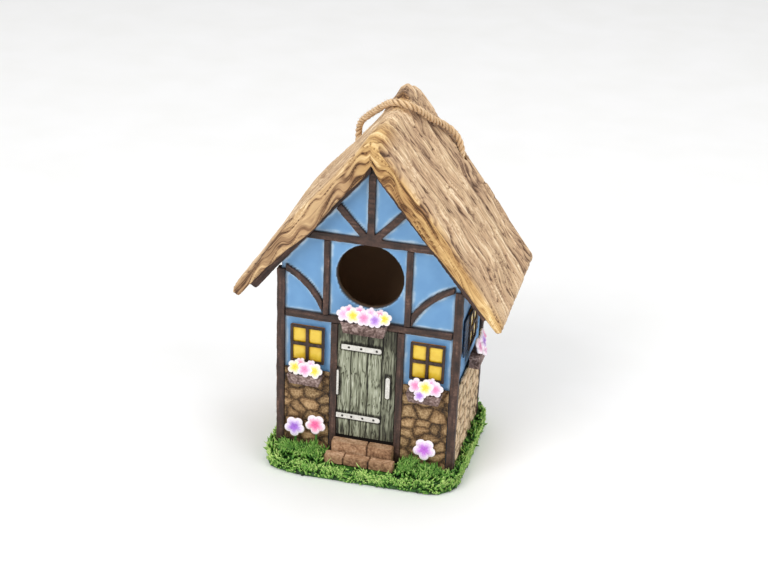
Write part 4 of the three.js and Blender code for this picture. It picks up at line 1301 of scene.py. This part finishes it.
def make_lawn():
    def relief(co, out):
        side = step(1 - np.abs(out[:, 2]), 0.2, 0.8)
        top = step(out[:, 2], 0.2, 0.8)
        bumps = layered(co, 4.5, 501)
        lift = -LAWN_INSET * side - top * 0.5 + (0.5 * side + 0.45 * top) * bumps
        return lift, {"tone": 0.25 + 0.25 * bumps}

    ground = carved("base_lawn", LAWN_VOXEL, relief, LOOKS["grass"], "lawn_ground")
    tree = tree_of([ground.data])
    heap = Heap()
    grow_top(heap, tree)
    grow_sides(heap, tree, tree_of([node_mesh("base_lawn")]))
    grow_tufts(heap, tree)
    grass = heap.piece("lawn_blades", "base_lawn", "lawn", LOOKS["grass"])
    co = positions(grass.data)
    co[:, 2] = np.maximum(co[:, 2], 0.05)
    set_positions(grass.data, kept_inside(co))


def grow_top(heap, tree):
    """Short grass all over the lawn, but for the house and the steps."""
    keep_out = [box_mm(node) for node in ("house_shell", "step_upper", "step_lower")]
    for _ in range(TOP_TRIES):
        x = rng.uniform(LAWN_LOW[0], LAWN_HIGH[0])
        y = rng.uniform(LAWN_LOW[1], LAWN_HIGH[1])
        if any(low[0] - 1.4 < x < high[0] + 1.4 and low[1] - 1.4 < y < high[1] + 1.4
               for low, high in keep_out):
            continue
        hit = tree.ray_cast(Vector((x, y, 30)), DOWN)[0]
        if hit is None:
            continue
        sweep = clump_lean(hit)
        lean = Vector((sweep[0] + rng.normal(0, 0.25), sweep[1] + rng.normal(-0.3, 0.25), 0.75))
        blade(heap, hit, lean.normalized(), rng.uniform(3.4, 6.6), rng.uniform(0.8, 1.3))


def grow_sides(heap, tree, limit):
    """Grass out of the lawn's sides, no longer than the room inside limit."""
    x, y, _ = (LAWN_LOW + LAWN_HIGH) / 2
    outline_centre = Vector((x, y, 0))
    for _ in range(SIDE_TRIES):
        angle = rng.uniform(0, 2 * math.pi)
        z = rng.uniform(1.2, 8.6)
        start = outline_centre + Vector((150 * math.cos(angle), 150 * math.sin(angle), z))
        inward = Vector((-math.cos(angle), -math.sin(angle), 0))
        hit, normal, _, _ = tree.ray_cast(start, inward)
        if hit is None:
            continue
        outer = limit.ray_cast(start, inward)[0]
        room = (outer - hit).length if outer is not None else 0.5
        outward = Vector((normal.x, normal.y, 0)).normalized()
        sweep = clump_lean(hit)
        sideways = Vector((-outward.y, outward.x, 0)) * (1.3 * sweep[0] + rng.normal(0, 0.2))
        upward = Vector((0, 0, rng.uniform(0.1, 1.0) + sweep[1]))
        way = (outward * 0.42 + sideways + upward).normalized()
        length = rng.uniform(3.2, 6.4)
        out_reach = max(way.dot(outward) * length, 0.01)
        length *= min(1.0, max(0.35, (room - 0.15) / out_reach))
        blade(heap, hit, way, length, rng.uniform(0.8, 1.3), 0.08)


def grow_tufts(heap, tree):
    """The tall tufts at the front, beside the steps and the ground flowers."""
    for left, right, tallest, tries in TUFTS:
        for _ in range(tries):
            x = rng.uniform(left, right)
            out = rng.uniform(0, 1)
            hit = tree.ray_cast(Vector((x, TUFT_Y - 7.5 * out, 30)), DOWN)[0]
            if hit is None:
                continue
            swell = math.sin(math.pi * (x - left) / (right - left)) ** 0.5
            sweep = clump_lean(hit)
            across = 1.1 * sweep[0] + rng.normal(0, 0.22)
            lean = Vector((across, sweep[1] * 0.5 - 0.25 - 0.3 * out, 1.0))
            length = (tallest * (1 - 0.6 * out) * swell + 2.5) * rng.uniform(0.5, 0.75)
            blade(heap, hit, lean.normalized(), length, rng.uniform(0.9, 1.4), -0.14)


def blade(heap, root, way, length, width, brighter=0.0):
    """One closed blade of grass, three-sided and bent at its middle."""
    root, way = np.array(root), np.array(way)
    across = np.cross(way, (rng.normal(), rng.normal(), 0.3))
    across /= np.linalg.norm(across)
    other = np.cross(way, across)
    middle = root + way * length * 0.55
    tip = middle + (way * 0.5 + other * rng.uniform(-0.3, 0.3)) * length
    corners = [across * math.cos(a) * width + other * math.sin(a) * width * 0.6
               for a in (0.5, 2.6, 4.7)]
    points = [root - way * 0.4 + v for v in corners] + [middle + v * 0.8 for v in corners] + [tip]
    shade = brighter + rng.uniform(-0.14, 0.18)
    tones = [0.12 + shade] * 3 + [0.5 + shade] * 3 + [0.86 + shade]
    heap.add(points, SPIKE_FACES, tone=tones)


make_lawn()


# ---- Floor, lights and world ----


FLOOR_REACH = 8.0  # metres
LIGHT_TARGET = (0, 0, 0.1)
# Each light's place in metres, its width in metres and its power.
LIGHTS = {"key": ((-0.8, -1.5, 1.6), 1.2, 27), "fill": ((1.7, -0.8, 1.1), 1.4, 14),
          "top": ((0.2, 0.3, 2.0), 1.2, 13)}
WORLD_STRENGTH = 0.55


def make_floor():
    look = Look("floor", 0.6)
    colour = look.ramp(look.grain(60, 2), [(0.3, (243, 243, 242)), (0.7, (246, 246, 246))])
    mesh = bpy.data.meshes.new("floor")
    corners = [(x * FLOOR_REACH, y * FLOOR_REACH, 0) for x, y in ((-1, -1), (1, -1), (1, 1), (-1, 1))]
    mesh.from_pydata(corners, [], [(0, 1, 2, 3)])
    floor = bpy.data.objects.new("floor", mesh)
    bpy.context.scene.collection.objects.link(floor)
    mesh.materials.append(look.finish(colour))


def make_light(name, place, size, power):
    data = bpy.data.lights.new(name, "AREA")
    data.size, data.energy = size, power
    light = bpy.data.objects.new(name, data)
    bpy.context.scene.collection.objects.link(light)
    light.location = place
    light.rotation_mode = "QUATERNION"
    light.rotation_quaternion = (Vector(LIGHT_TARGET) - Vector(place)).to_track_quat("-Z", "Y")


def make_stage():
    make_floor()
    for name, settings in LIGHTS.items():
        make_light(name, *settings)
    world = bpy.data.worlds.new("studio")
    world.use_nodes = True
    shade = world.node_tree.nodes["Background"]
    shade.inputs["Color"].default_value = (1, 1, 1, 1)
    shade.inputs["Strength"].default_value = WORLD_STRENGTH
    bpy.context.scene.world = world
    bpy.context.scene.view_settings.view_transform = "Standard"


make_stage()
